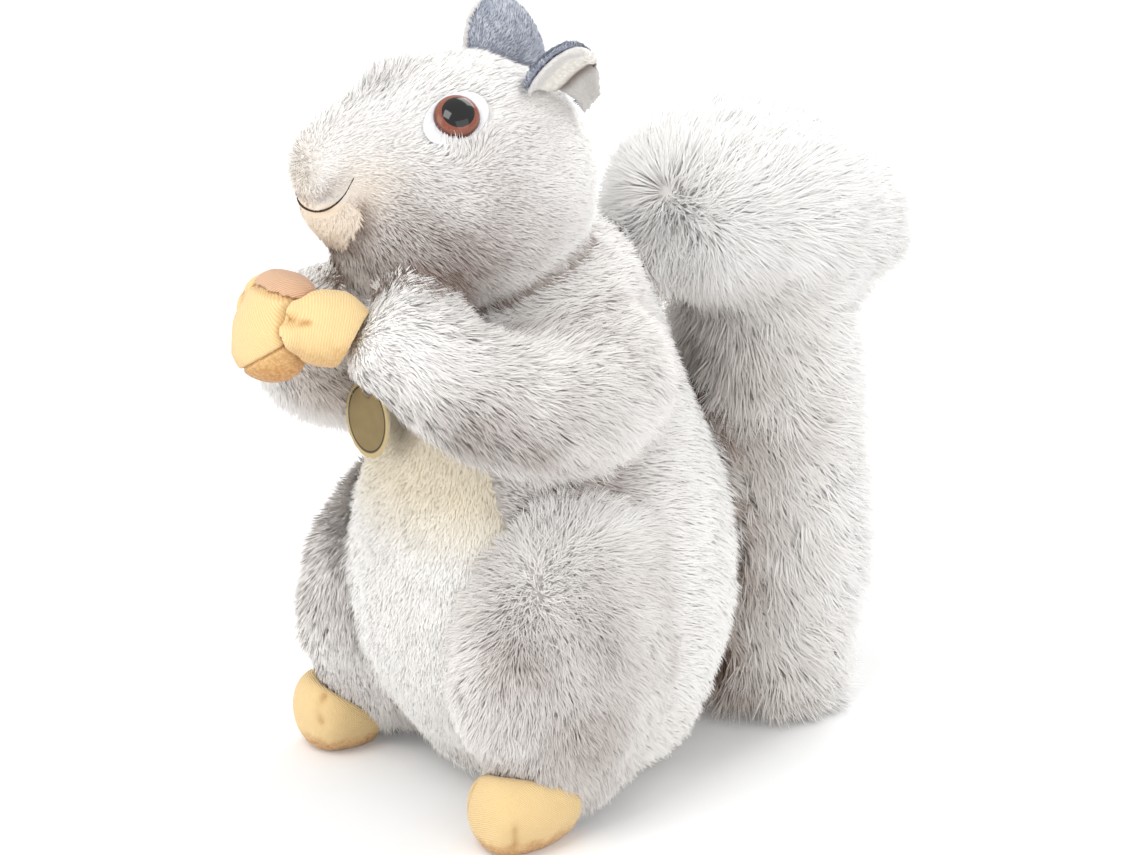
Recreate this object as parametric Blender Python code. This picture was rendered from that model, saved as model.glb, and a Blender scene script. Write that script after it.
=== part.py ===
# A sitting plush squirrel that holds a stuffed acorn, as separate sewn and moulded pieces.
#
# Metres, +Z up. The squirrel faces -Y and its left side is +X. The origin is the middle of the
# flat seat. Every stuffed piece is a form: rounded sections strung along a smooth spine, with a
# dome at each end. Its surface is where the tips of the pile lie. Where two stuffed pieces press
# on each other, one of them is cut back by the other one grown by the seam gap.

import math

import bmesh
import bpy
from mathutils import Matrix, Vector

MM = 0.001

# Room between neighbouring pieces, and how far a cutter runs past what it cuts
SEAM_GAP = 0.35 * MM
CUT_PAST = 4.0 * MM

# Torso, from the seat up
TORSO_HEIGHT = 168 * MM
SEAT_HALF_WIDTH = 47 * MM
SEAT_HALF_DEPTH = 44 * MM
BELLY_HALF_WIDTH = 57 * MM
BELLY_HALF_DEPTH = 58 * MM
BELLY_FULLNESS = 7 * MM
CHEST_HALF_WIDTH = 48 * MM
CHEST_HALF_DEPTH = 49 * MM
NECK_HALF_WIDTH = 36 * MM
NECK_HALF_DEPTH = 36 * MM
NECK_FORWARD = 14 * MM
SEAT_DOME = 16.8 * MM
NECK_DOME = 14.4 * MM
# Sections from the seat up: share of the height, and the half width and half depth there
TORSO_SECTIONS = ((0.08, SEAT_HALF_WIDTH, SEAT_HALF_DEPTH),
                  (0.28, BELLY_HALF_WIDTH, BELLY_HALF_DEPTH),
                  (0.50, BELLY_HALF_WIDTH, BELLY_HALF_DEPTH),
                  (0.70, CHEST_HALF_WIDTH, CHEST_HALF_DEPTH),
                  (1.00, NECK_HALF_WIDTH, NECK_HALF_DEPTH))

# Cream belly panel, set into the front of the torso
PANEL_THICKNESS = 6 * MM
PANEL_LOW = 0.04
PANEL_HIGH = 0.84
PANEL_HALF_ANGLE = 50
PANEL_MIDDLE_ANGLE = -90
# The panel's waist: its width at its lower and upper ends, as a share of a half turn
PANEL_TAPER_START = 0.1
PANEL_TAPER_SPAN = 0.8

# Head: its middle over the seat, and its own axis from the back of the skull to the nose
HEAD_TURN = 10
HEAD_HEIGHT = 205 * MM
HEAD_FORWARD = 31 * MM
HEAD_HALF_WIDTH = 38 * MM
HEAD_HALF_HEIGHT = 39 * MM
HEAD_BACK_LENGTH = 36 * MM
HEAD_FRONT_LENGTH = 62 * MM
CHEEK_DROP = 4 * MM
MUZZLE_HALF_WIDTH = 15.5 * MM
MUZZLE_HALF_HEIGHT = 14 * MM
MUZZLE_CREST = 6 * MM
NOSE_RISE = 12 * MM
SKULL_DOME = 16.2 * MM
NOSE_DOME = 13.6 * MM
# Sections from the back of the skull to the muzzle: share of the length behind or ahead of
# the middle, shares of the half width and of the half height above and below, and of the rise
HEAD_SECTIONS = ((-0.55, 0.80, 0.80, 0.80, 0.0),
                 (-0.10, 1.00, 1.00, 0.98, 0.0),
                 (0.25, 0.97, 0.98, 1.00, 0.1),
                 (0.52, 0.75, 0.89, 0.86, 0.40))
MUZZLE_PLACE = 0.80
MUZZLE_RISE_SHARE = 0.8

# Cream chin, set into the head below the muzzle
CHIN_HALF_WIDTH = 18.5 * MM
CHIN_HALF_HEIGHT = 15.5 * MM
CHIN_HALF_LENGTH = 15 * MM
CHIN_BEHIND_NOSE = 18 * MM
CHIN_BELOW_NOSE = 13 * MM
CHIN_SLOPE = 0.5
# Sections along it: place in half lengths, and share of the half width and half height
CHIN_SECTIONS = ((-0.5, 0.9), (0.0, 1.0), (0.5, 0.8))

# Embroidered mouth line
MOUTH_RADIUS = 0.8 * MM
MOUTH_SPREAD = 96
MOUTH_SWING = 18
MOUTH_STEPS = 10

# Moulded safety eyes, their locking washers and the white felt ovals behind them
EYE_RADIUS = 7.0 * MM
EYE_DOME = 4.2 * MM
STEM_RADIUS = 1.7 * MM
STEM_LENGTH = 12 * MM
WASHER_RADIUS = 5.0 * MM
WASHER_THICKNESS = 1.4 * MM
WASHER_DEPTH = 5.0 * MM
FELT_HALF_LENGTH = 11.0 * MM
FELT_HALF_HEIGHT = 7.8 * MM
FELT_THICKNESS = 1.2 * MM
FELT_TILT = 22
SOCKET_DEPTH = 3.2 * MM
EYE_PLACE = 0.655
EYE_ANGLE = 49
EYE_STEPS = 4
# Share of the eye's height that is a plain rim below its dome
EYE_RIM_SHARE = 0.1

# Ears: a plush back and a short-pile lining, each a cupped oval sheet
EAR_HALF_LENGTH = 17 * MM
EAR_HALF_WIDTH = 12.5 * MM
EAR_CUP = 7 * MM
EAR_SHEET = 2.0 * MM
EAR_SPLAY = 24
EAR_PLACE = 0.02
EAR_ANGLE = 58
EAR_BITE = 11.7 * MM
EAR_TAPER = 0.16

# Arms, measured from the middle of the chest
SHOULDER_HEIGHT = 146 * MM
SHOULDER_OUT = 33 * MM
SHOULDER_FORWARD = 7 * MM
SHOULDER_RADIUS = 23 * MM
ELBOW_OUT = 41 * MM
ELBOW_FORWARD = 46 * MM
ELBOW_RADIUS = 21.5 * MM
WRIST_OUT = 19 * MM
WRIST_FORWARD = 84 * MM
WRIST_HEIGHT = 171 * MM
WRIST_RADIUS = 18 * MM
RIGHT_WRIST_DROP = 8 * MM
RIGHT_WRIST_REACH = 1 * MM
LEFT_ELBOW_DROP = 0.5 * MM
RIGHT_ELBOW_DROP = 13 * MM
SHOULDER_DOME = 13.8 * MM
CUFF_DOME = 6.3 * MM
ARM_STATIONS = 6

# Mitten hands, carried on from the wrists
HAND_LENGTH = 26 * MM
HAND_HALF_WIDTH = 9.5 * MM
HAND_HALF_HEIGHT = 11.5 * MM
HAND_TURN_IN = 0.48
LEFT_HAND_RISE = 0.2
RIGHT_HAND_RISE = 0.75
HAND_ROOT_DOME = 3.8 * MM
HAND_TIP_DOME = 6.6 * MM
# Sections from the wrist to the fingertips: share of the length and of the half sizes
HAND_SECTIONS = ((0.0, 0.85), (0.35, 1.0), (0.7, 1.0), (0.9, 0.8))

# Acorn, between the hands
ACORN_RADIUS = 13.0 * MM
ACORN_LENGTH = 32 * MM
ACORN_LEAN = 20
ACORN_BELOW_TIPS = 5.6 * MM
ACORN_TIP_DOME = 9.0 * MM
ACORN_STEM_DOME = 9.6 * MM
# Sections along its axis: share of the length from the middle, and of the radius
ACORN_SECTIONS = ((-0.22, 0.90), (0.0, 1.0), (0.2, 0.88))
CAP_RADIUS = 10.0 * MM
CAP_HEIGHT = 6.0 * MM
CAP_DOME = 3.0 * MM
# Sections of the cap: share of its height below the nut's stem end, and of its radius
CAP_SECTIONS = ((0.7, 1.0), (0.2, 0.85))

# Haunches and feet
LEG_OUT = 40 * MM
LEG_FORWARD = 31 * MM
LEG_HEIGHT = 98 * MM
LEFT_LEG_RISE = 15.5 * MM
THIGH_HALF_WIDTH = 24 * MM
THIGH_HALF_DEPTH = 40 * MM
ANKLE_DOME = 11.8 * MM
THIGH_DOME = 19.6 * MM
# Sections upward: share of the height, of the half width, of the half depth and of the reach
LEG_SECTIONS = ((0.12, 0.60, 0.56, 0.80), (0.32, 0.94, 0.94, 0.92), (0.58, 1.0, 1.0, 0.84),
                (0.80, 0.80, 0.76, 0.56))
FOOT_OUT = 44 * MM
FOOT_FORWARD = 47 * MM
FOOT_LENGTH = 36 * MM
FOOT_HALF_WIDTH = 14 * MM
FOOT_HALF_HEIGHT = 12 * MM
SOLE_FLAT = 1.2 * MM
HEEL_DOME = 7.2 * MM
TOE_DOME = 7.9 * MM
# Sections from heel to toe: share of the length, of the half width and of the half height
FOOT_SECTIONS = ((-0.30, 0.85, 0.9), (0.0, 1.0, 1.0), (0.28, 0.95, 0.9))

# Tail: an upright trunk and the puff that curls backward at its top
TAIL_BACK = 84 * MM
TAIL_HALF_WIDTH = 35 * MM
TAIL_HALF_DEPTH = 32 * MM
TAIL_HEIGHT = 150 * MM
TAIL_LOW_DOME = 12 * MM
TAIL_TOP_DOME = 21 * MM
# Sections upward: share of the height, half width, half depth and lean back
TAIL_SECTIONS = ((0.03, 1.10, 0.92, -0.12), (0.30, 1.08, 1.03, 0.0), (0.65, 0.98, 0.98, 0.0),
                 (1.0, 0.88, 0.86, -0.05))
PUFF_HEIGHT = 168 * MM
PUFF_LENGTH = 104 * MM
PUFF_HALF_WIDTH = 39 * MM
PUFF_HALF_HEIGHT = 31 * MM
PUFF_BACK = 79 * MM
PUFF_DROOP = 12 * MM
PUFF_FRONT_DOME = 26 * MM
PUFF_BACK_DOME = 27 * MM
# Sections backward: share of the length, half width, half height and droop
PUFF_SECTIONS = ((-0.25, 0.84, 0.90, 0.15), (0.0, 1.0, 1.0, 0.0), (0.24, 0.86, 0.86, -1.0))

# Oval tag on the chest and the plastic loop that holds it
TAG_HALF_WIDTH = 9 * MM
TAG_HALF_HEIGHT = 13 * MM
TAG_THICKNESS = 1.2 * MM
TAG_BELOW_SHOULDER = 4 * MM
TAG_ANGLE = -97
TAG_TURN = 10
TAG_STANDOFF = 11 * MM
TAG_HOLE_RADIUS = 1.9 * MM
TAG_HOLE_INSET = 4.0 * MM
LOOP_WIRE = 0.6 * MM
LOOP_BITE = 7.5 * MM
LOOP_SLANT = 45

# Sides round each form, rings along it and rings in each dome
HEAD_FACETS = (22, 16, 4)
TORSO_FACETS = (24, 12, 3)
CHIN_FACETS = (16, 4, 3)
MOUTH_FACETS = (6, 20, 2)
ARM_FACETS = (16, 11, 3)
HAND_FACETS = (14, 5, 3)
LEG_FACETS = (18, 10, 3)
FOOT_FACETS = (16, 6, 3)
ACORN_FACETS = (18, 6, 4)
CAP_FACETS = (16, 2, 2)
TAIL_FACETS = (20, 12, 3)
PUFF_FACETS = (20, 9, 4)
PANEL_FACETS = (8, 8)
EAR_FACETS = (18, 4)
ROUND_SIDES = 20
HOLE_SIDES = 12
LOOP_FACETS = (28, 6)
SHARP_ANGLE = 50
SIDES = ((1, "left"), (-1, "right"))

RIGHT = Vector((1, 0, 0))
BACK = Vector((0, 1, 0))
UP = Vector((0, 0, 1))


class Form:
    # Each station is a spine point and its half-sizes: across, above and below. Above is the
    # spine's direction crossed with the across direction.

    def __init__(self, stations, across, start_dome, end_dome):
        self.stations = stations
        self.across = across
        self.start_dome = start_dome
        self.end_dome = end_dome

    def station(self, place):
        # A smooth curve through all the stations, with place running from 0 to 1
        last = len(self.stations) - 1
        index = min(int(place * last), last - 1)
        share = place * last - index
        rows = []
        for step in (-1, 0, 1, 2):
            row = self.stations[min(max(index + step, 0), last)]
            rows.append(Vector((*row[0], *row[1:])))
        before, start, end, after = rows
        value = 0.5 * ((2 * start) + (end - before) * share
                       + (2 * before - 5 * start + 4 * end - after) * share ** 2
                       + (3 * start - before - 3 * end + after) * share ** 3)
        return Vector(value[:3]), value[3], value[4], value[5]

    def axes(self, place):
        step = 0.01
        ahead = self.station(min(place + step, 1))[0]
        behind = self.station(max(place - step, 0))[0]
        along = (ahead - behind).normalized()
        across = (self.across - along * self.across.dot(along)).normalized()
        return along, across, along.cross(across)

    def ring_point(self, place, angle, grow=0.0, share=1.0, shift=0.0):
        centre, width, above, below = self.station(place)
        along, across, upward = self.axes(place)
        height = above if math.sin(angle) > 0 else below
        point = centre + along * shift
        point += across * (width + grow) * math.cos(angle) * share
        point += upward * (height + grow) * math.sin(angle) * share
        return point

    def point(self, place, degrees, grow=0.0):
        return self.ring_point(place, math.radians(degrees), grow)

    def normal(self, place, degrees):
        step = 0.01
        round_it = self.point(place, degrees + 1) - self.point(place, degrees - 1)
        along_it = self.point(place + step, degrees) - self.point(place - step, degrees)
        return round_it.cross(along_it).normalized()

    def mesh(self, sides, rings, domes, grow=0.0):
        places = []
        for ring in range(domes - 1, 0, -1):
            swing = math.pi / 2 * ring / domes
            places.append((0.0, math.cos(swing), -(self.start_dome + grow) * math.sin(swing)))
        for ring in range(rings + 1):
            places.append((ring / rings, 1.0, 0.0))
        for ring in range(1, domes):
            swing = math.pi / 2 * ring / domes
            places.append((1.0, math.cos(swing), (self.end_dome + grow) * math.sin(swing)))
        bm = bmesh.new()
        loops = []
        for place, share, shift in places:
            angles = [2 * math.pi * side / sides for side in range(sides)]
            loops.append([bm.verts.new(self.ring_point(place, angle, grow, share, shift))
                          for angle in angles])
        for low, high in zip(loops, loops[1:]):
            for side in range(sides):
                after = (side + 1) % sides
                bm.faces.new((low[side], low[after], high[after], high[side]))
        tips = ((0.0, loops[0], -(self.start_dome + grow)),
                (1.0, loops[-1], self.end_dome + grow))
        for place, loop, shift in tips:
            tip = bm.verts.new(self.station(place)[0] + self.axes(place)[0] * shift)
            for side in range(sides):
                bm.faces.new((loop[side], loop[(side + 1) % sides], tip))
        bmesh.ops.recalc_face_normals(bm, faces=bm.faces)
        return bm


def clear_scene():
    for old in list(bpy.data.objects):
        bpy.data.objects.remove(old, do_unlink=True)


def make_material(name, colour, roughness):
    material = bpy.data.materials.get(name) or bpy.data.materials.new(name)
    material.use_nodes = True
    shader = material.node_tree.nodes["Principled BSDF"]
    shader.inputs["Base Color"].default_value = (*colour, 1.0)
    shader.inputs["Roughness"].default_value = roughness
    material.diffuse_color = (*colour, 1.0)
    return material


def add_object(name, bm, material=None):
    bmesh.ops.remove_doubles(bm, verts=bm.verts, dist=0.00001)
    bmesh.ops.recalc_face_normals(bm, faces=bm.faces)
    mesh = bpy.data.meshes.new(name)
    bm.to_mesh(mesh)
    bm.free()
    mesh.shade_smooth()
    mesh.set_sharp_from_angle(angle=math.radians(SHARP_ANGLE))
    made = bpy.data.objects.new(name, mesh)
    bpy.context.scene.collection.objects.link(made)
    if material:
        mesh.materials.append(material)
    return made


def add_cutter(name, bm):
    cutter = add_object(name, bm)
    cutter.hide_render = True
    cutter.display_type = "WIRE"
    return cutter


def combine(target, name, operation="DIFFERENCE"):
    modifier = target.modifiers.new(name, "BOOLEAN")
    modifier.operation = operation
    modifier.solver = "EXACT"
    modifier.object = bpy.data.objects[name]


def cut(target, *names):
    for name in names:
        combine(target, name)


def cut_flat(bm, height):
    # Takes away what lies below the height and closes the flat face
    geometry = list(bm.verts) + list(bm.edges) + list(bm.faces)
    cut = bmesh.ops.bisect_plane(bm, geom=geometry, plane_co=(0, 0, height),
                                 plane_no=(0, 0, 1), clear_inner=True)
    edges = [part for part in cut["geom_cut"] if isinstance(part, bmesh.types.BMEdge)]
    bmesh.ops.contextual_create(bm, geom=edges)


def place_matrix(origin, facing, upward):
    # Local Z looks along facing, and local Y is as near to upward as it can be
    z_axis = facing.normalized()
    x_axis = upward.cross(z_axis).normalized()
    y_axis = z_axis.cross(x_axis)
    turn = Matrix((x_axis, y_axis, z_axis)).transposed().to_4x4()
    return Matrix.Translation(origin) @ turn


def prism(half_width, half_height, low, high, sides=ROUND_SIDES):
    # An upright oval disc between two heights of its own axis
    bm = bmesh.new()
    bmesh.ops.create_cone(bm, cap_ends=True, segments=sides, radius1=1, radius2=1,
                          depth=high - low)
    bmesh.ops.scale(bm, verts=bm.verts, vec=(half_width, half_height, 1))
    bmesh.ops.translate(bm, verts=bm.verts, vec=(0, 0, (low + high) / 2))
    return bm


def moved(bm, matrix):
    bmesh.ops.transform(bm, matrix=matrix, verts=bm.verts)
    return bm


def joined_rings(bm, low_loop, high_loop):
    # A band of faces between two loops, or a fan where one of them is a single point
    sides = max(len(low_loop), len(high_loop))
    for side in range(sides):
        after = (side + 1) % sides
        corners = [low_loop[side % len(low_loop)], low_loop[after % len(low_loop)],
                   high_loop[after % len(high_loop)], high_loop[side % len(high_loop)]]
        bm.faces.new(list(dict.fromkeys(corners)))


def turned(profile, closed=False):
    # A solid of revolution about Z: the profile runs from axis to axis, or is a closed ring
    bm = bmesh.new()
    loops = []
    for radius, height in profile:
        count = ROUND_SIDES if radius > 0 else 1
        turns = [2 * math.pi * side / count for side in range(count)]
        loops.append([bm.verts.new((radius * math.cos(turn), radius * math.sin(turn), height))
                      for turn in turns])
    for low_loop, high_loop in zip(loops, loops[1:] + (loops[:1] if closed else [])):
        joined_rings(bm, low_loop, high_loop)
    return bm


def bent(start, pull, end, share):
    # A point, or a size, on the even bend from start to end that pull draws out
    return start * (1 - share) ** 2 + pull * 2 * share * (1 - share) + end * share ** 2


def torso_form():
    neck = Vector((0, -NECK_FORWARD, TORSO_HEIGHT))
    stations = []
    for share, width, depth in TORSO_SECTIONS:
        centre = neck * share + BACK * NECK_FORWARD * share * (1 - share)
        fullness = BELLY_FULLNESS * math.sin(math.pi * share)
        stations.append((centre, width, depth, depth + fullness))
    return Form(stations, RIGHT, SEAT_DOME, NECK_DOME)


def head_axes():
    turn = math.radians(HEAD_TURN)
    forward = Vector((-math.sin(turn), -math.cos(turn), 0))
    return forward, Vector((math.cos(turn), -math.sin(turn), 0))


def head_spine(share, length, rise):
    forward, _ = head_axes()
    middle = Vector((0, -HEAD_FORWARD, HEAD_HEIGHT))
    return middle + forward * length * share + UP * (NOSE_RISE * rise - CHEEK_DROP * (1 - rise))


def head_form():
    _, across = head_axes()
    stations = []
    for share, wide, above, below, rise in HEAD_SECTIONS:
        length = HEAD_FRONT_LENGTH if share > 0 else HEAD_BACK_LENGTH
        stations.append((head_spine(share, length, rise), HEAD_HALF_WIDTH * wide,
                         HEAD_HALF_HEIGHT * above, HEAD_HALF_HEIGHT * below))
    muzzle = head_spine(MUZZLE_PLACE, HEAD_FRONT_LENGTH, MUZZLE_RISE_SHARE)
    stations.append((muzzle, MUZZLE_HALF_WIDTH, MUZZLE_HALF_HEIGHT + MUZZLE_CREST,
                     MUZZLE_HALF_HEIGHT))
    return Form(stations, across, SKULL_DOME, NOSE_DOME)


def chin_form():
    forward, across = head_axes()
    nose = head_spine(1, HEAD_FRONT_LENGTH, 1)
    centre = nose - forward * CHIN_BEHIND_NOSE - UP * CHIN_BELOW_NOSE
    along = (forward - UP * CHIN_SLOPE).normalized()
    stations = [(centre + along * CHIN_HALF_LENGTH * place, CHIN_HALF_WIDTH * size,
                 CHIN_HALF_HEIGHT * size, CHIN_HALF_HEIGHT * size)
                for place, size in CHIN_SECTIONS]
    return Form(stations, across, CHIN_HALF_LENGTH / 2, CHIN_HALF_LENGTH / 2)


def wrist_point(side):
    wrist = Vector((side * WRIST_OUT, -WRIST_FORWARD, WRIST_HEIGHT))
    if side < 0:
        wrist -= UP * RIGHT_WRIST_DROP + BACK * RIGHT_WRIST_REACH
    return wrist


def arm_form(side):
    # One even bend from the shoulder through the elbow to the wrist
    wrist = wrist_point(side)
    drop = LEFT_ELBOW_DROP if side > 0 else RIGHT_ELBOW_DROP
    shoulder = Vector((side * SHOULDER_OUT, -SHOULDER_FORWARD, SHOULDER_HEIGHT))
    elbow = Vector((side * ELBOW_OUT, -ELBOW_FORWARD, SHOULDER_HEIGHT - drop))
    pull = 2 * elbow - (shoulder + wrist) / 2
    swell = 2 * ELBOW_RADIUS - (SHOULDER_RADIUS + WRIST_RADIUS) / 2
    stations = []
    for step in range(ARM_STATIONS):
        share = step / (ARM_STATIONS - 1)
        radius = bent(SHOULDER_RADIUS, swell, WRIST_RADIUS, share)
        stations.append((bent(shoulder, pull, wrist, share), radius, radius, radius))
    return Form(stations, RIGHT, SHOULDER_DOME, CUFF_DOME)


def hand_tip(side):
    rise = LEFT_HAND_RISE if side > 0 else RIGHT_HAND_RISE
    return wrist_point(side) + Vector((-side * HAND_TURN_IN, -1, rise)).normalized() * HAND_LENGTH


def hand_form(side):
    stations = [(wrist_point(side).lerp(hand_tip(side), share), HAND_HALF_WIDTH * size,
                 HAND_HALF_HEIGHT * size, HAND_HALF_HEIGHT * size)
                for share, size in HAND_SECTIONS]
    return Form(stations, RIGHT, HAND_ROOT_DOME, HAND_TIP_DOME)


def acorn_point(height):
    # A point on the acorn's axis, at a height from the nut's middle
    lean = math.radians(ACORN_LEAN)
    middle = (hand_tip(1) + hand_tip(-1)) / 2 - UP * ACORN_BELOW_TIPS
    return middle + Vector((0, math.sin(lean), math.cos(lean))) * height


def acorn_form():
    stations = [(acorn_point(ACORN_LENGTH * share), ACORN_RADIUS * size, ACORN_RADIUS * size,
                 ACORN_RADIUS * size) for share, size in ACORN_SECTIONS]
    return Form(stations, RIGHT, ACORN_TIP_DOME, ACORN_STEM_DOME)


def cap_form():
    stations = [(acorn_point(ACORN_LENGTH / 2 - CAP_HEIGHT * drop), CAP_RADIUS * size,
                 CAP_RADIUS * size, CAP_RADIUS * size) for drop, size in CAP_SECTIONS]
    return Form(stations, RIGHT, SEAM_GAP, CAP_DOME)


def leg_form(side):
    height = LEG_HEIGHT + (LEFT_LEG_RISE if side > 0 else 0)
    stations = []
    for share, wide, deep, reach in LEG_SECTIONS:
        centre = Vector((side * LEG_OUT, -LEG_FORWARD * reach, height * share))
        stations.append((centre, THIGH_HALF_WIDTH * wide, THIGH_HALF_DEPTH * deep,
                         THIGH_HALF_DEPTH * deep))
    return Form(stations, RIGHT, ANKLE_DOME, THIGH_DOME)


def foot_form(side):
    stations = []
    for share, wide, tall in FOOT_SECTIONS:
        centre = Vector((side * FOOT_OUT, -FOOT_FORWARD - FOOT_LENGTH * share,
                         FOOT_HALF_HEIGHT - SOLE_FLAT))
        stations.append((centre, FOOT_HALF_WIDTH * wide, FOOT_HALF_HEIGHT * tall,
                         FOOT_HALF_HEIGHT * tall))
    return Form(stations, RIGHT, HEEL_DOME, TOE_DOME)


def tail_form():
    stations = []
    for share, wide, deep, lean in TAIL_SECTIONS:
        centre = Vector((0, TAIL_BACK * (1 + lean), TAIL_HEIGHT * share))
        stations.append((centre, TAIL_HALF_WIDTH * wide, TAIL_HALF_DEPTH * deep,
                         TAIL_HALF_DEPTH * deep))
    return Form(stations, RIGHT, TAIL_LOW_DOME, TAIL_TOP_DOME)


def puff_form():
    stations = []
    for share, wide, tall, droop in PUFF_SECTIONS:
        centre = Vector((0, PUFF_BACK + PUFF_LENGTH * share, PUFF_HEIGHT + PUFF_DROOP * droop))
        stations.append((centre, PUFF_HALF_WIDTH * wide, PUFF_HALF_HEIGHT * tall,
                         PUFF_HALF_HEIGHT * tall))
    return Form(stations, -RIGHT, PUFF_FRONT_DOME, PUFF_BACK_DOME)


def panel_swing(share):
    # Half the panel's spread round the torso, at a share of the way up it
    taper = math.pi * (PANEL_TAPER_START + PANEL_TAPER_SPAN * share)
    return PANEL_HALF_ANGLE * (0.5 + 0.5 * math.sin(taper))


def panel_sheet(bm, offset, margin):
    torso = torso_form()
    columns, rows = PANEL_FACETS
    low = PANEL_LOW - margin / TORSO_HEIGHT
    high = PANEL_HIGH + margin / TORSO_HEIGHT
    sheet = []
    for row in range(rows + 1):
        swing = panel_swing(row / rows) + math.degrees(margin / NECK_HALF_WIDTH)
        place = low + (high - low) * row / rows
        angles = [PANEL_MIDDLE_ANGLE + swing * (2 * column / columns - 1)
                  for column in range(columns + 1)]
        sheet.append([bm.verts.new(torso.point(place, angle, offset)) for angle in angles])
    return sheet


def panel_mesh(inner, outer, margin):
    # A barrel-shaped patch of the torso's skin, between two offsets from it
    columns, rows = PANEL_FACETS
    bm = bmesh.new()
    inside = panel_sheet(bm, inner, margin)
    outside = panel_sheet(bm, outer, margin)
    for row in range(rows):
        for column in range(columns):
            for sheet in (inside, outside):
                bm.faces.new((sheet[row][column], sheet[row][column + 1],
                              sheet[row + 1][column + 1], sheet[row + 1][column]))
        for edge in (0, columns):
            bm.faces.new((inside[row][edge], inside[row + 1][edge],
                          outside[row + 1][edge], outside[row][edge]))
    for column in range(columns):
        for edge in (0, rows):
            bm.faces.new((inside[edge][column], inside[edge][column + 1],
                          outside[edge][column + 1], outside[edge][column]))
    bmesh.ops.triangulate(bm, faces=bm.faces, quad_method="FIXED")
    return bm


def mouth_form(radius):
    # A line round the lower half of the nose's dome, bowed towards its tip
    head = head_form()
    stations = []
    for step in range(MOUTH_STEPS + 1):
        across = 2 * step / MOUTH_STEPS - 1
        swing = math.radians(MOUTH_SWING * (1 - abs(across)))
        angle = math.radians(-90 + MOUTH_SPREAD * across)
        centre = head.ring_point(1.0, angle, 0.0, math.cos(swing), head.end_dome * math.sin(swing))
        stations.append((centre, radius, radius, radius))
    return Form(stations, UP, radius, radius)


def eye_matrix(side):
    # The middle of the eye's socket floor, looking straight out of the head
    head = head_form()
    angle = EYE_ANGLE if side > 0 else 180 - EYE_ANGLE
    facing = head.normal(EYE_PLACE, angle)
    forward, _ = head_axes()
    tilt = math.radians(FELT_TILT)
    upward = UP * math.cos(tilt) + forward * math.sin(tilt)
    return place_matrix(head.point(EYE_PLACE, angle) - facing * SOCKET_DEPTH, facing, upward)


def felt_mesh(margin, low, high):
    return prism(FELT_HALF_LENGTH + margin, FELT_HALF_HEIGHT + margin, low, high)


def eye_mesh():
    base = FELT_THICKNESS + 2 * SEAM_GAP
    profile = [(0, base + EYE_DOME)]
    for step in range(1, EYE_STEPS + 1):
        swing = math.pi / 2 * step / EYE_STEPS
        height = EYE_DOME * (EYE_RIM_SHARE + (1 - EYE_RIM_SHARE) * math.cos(swing))
        profile.append((EYE_RADIUS * math.sin(swing), base + height))
    profile += [(EYE_RADIUS, base), (STEM_RADIUS, base), (STEM_RADIUS, base - STEM_LENGTH),
                (0, base - STEM_LENGTH)]
    return turned(profile)


def washer_mesh():
    hole = STEM_RADIUS + SEAM_GAP
    low = -WASHER_DEPTH
    high = low + WASHER_THICKNESS
    profile = ((hole, low), (WASHER_RADIUS, low), (WASHER_RADIUS, high), (hole, high))
    return turned(profile, closed=True)


def ear_sheet(bm, offset):
    sides, rings = EAR_FACETS
    loops = [[bm.verts.new((0, 0, offset - EAR_CUP))]]
    for ring in range(1, rings + 1):
        share = ring / rings
        loop = []
        for side in range(sides):
            angle = 2 * math.pi * side / sides
            width = EAR_HALF_WIDTH * (1 - EAR_TAPER * math.sin(angle))
            loop.append(bm.verts.new((width * share * math.cos(angle),
                                      EAR_HALF_LENGTH * share * math.sin(angle),
                                      offset - EAR_CUP * (1 - share ** 2))))
        loops.append(loop)
    for low_loop, high_loop in zip(loops, loops[1:]):
        joined_rings(bm, low_loop, high_loop)
    return loops[-1]


def ear_mesh(low, high):
    # A cupped oval dish between two offsets: local Z looks into the cup, local Y is up
    bm = bmesh.new()
    joined_rings(bm, ear_sheet(bm, low), ear_sheet(bm, high))
    return bm


def ear_matrix(side):
    angle = EAR_ANGLE if side > 0 else 180 - EAR_ANGLE
    seat = head_form().point(EAR_PLACE, angle)
    _, left = head_axes()
    splay = math.radians(EAR_SPLAY)
    upward = UP * math.cos(splay) + left * side * math.sin(splay)
    facing = left * side * math.cos(splay) - UP * math.sin(splay)
    return place_matrix(seat + upward * (EAR_HALF_LENGTH - EAR_BITE), facing, upward)


def tag_matrix():
    turn = math.radians(TAG_TURN)
    facing = Vector((math.sin(turn), -math.cos(turn), 0))
    place = (SHOULDER_HEIGHT - TAG_BELOW_SHOULDER) / TORSO_HEIGHT
    return place_matrix(torso_form().point(place, TAG_ANGLE, TAG_STANDOFF), facing, UP)


def loop_mesh(wire):
    # An upright ring that slants through the tag's hole and bites into the chest behind it
    bm = bmesh.new()
    rounds, sides = LOOP_FACETS
    slant = math.radians(LOOP_SLANT)
    radius = (TAG_STANDOFF + LOOP_BITE) / (1 + math.cos(slant))
    middle = Vector((0, TAG_HALF_HEIGHT - TAG_HOLE_INSET + radius * math.sin(slant),
                     TAG_THICKNESS / 2 - radius * math.cos(slant)))
    loops = []
    for turn in range(rounds):
        angle = 2 * math.pi * turn / rounds
        outward = Vector((0, math.cos(angle), math.sin(angle)))
        loop = []
        for side in range(sides):
            around = 2 * math.pi * side / sides
            loop.append(bm.verts.new(middle + outward * (radius + wire * math.cos(around))
                                     + RIGHT * wire * math.sin(around)))
        loops.append(loop)
    for low_loop, high_loop in zip(loops, loops[1:] + loops[:1]):
        joined_rings(bm, low_loop, high_loop)
    return bm


def frosted_plush():
    return make_material("frosted_plush", (0.62, 0.59, 0.57), 0.95)


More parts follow.
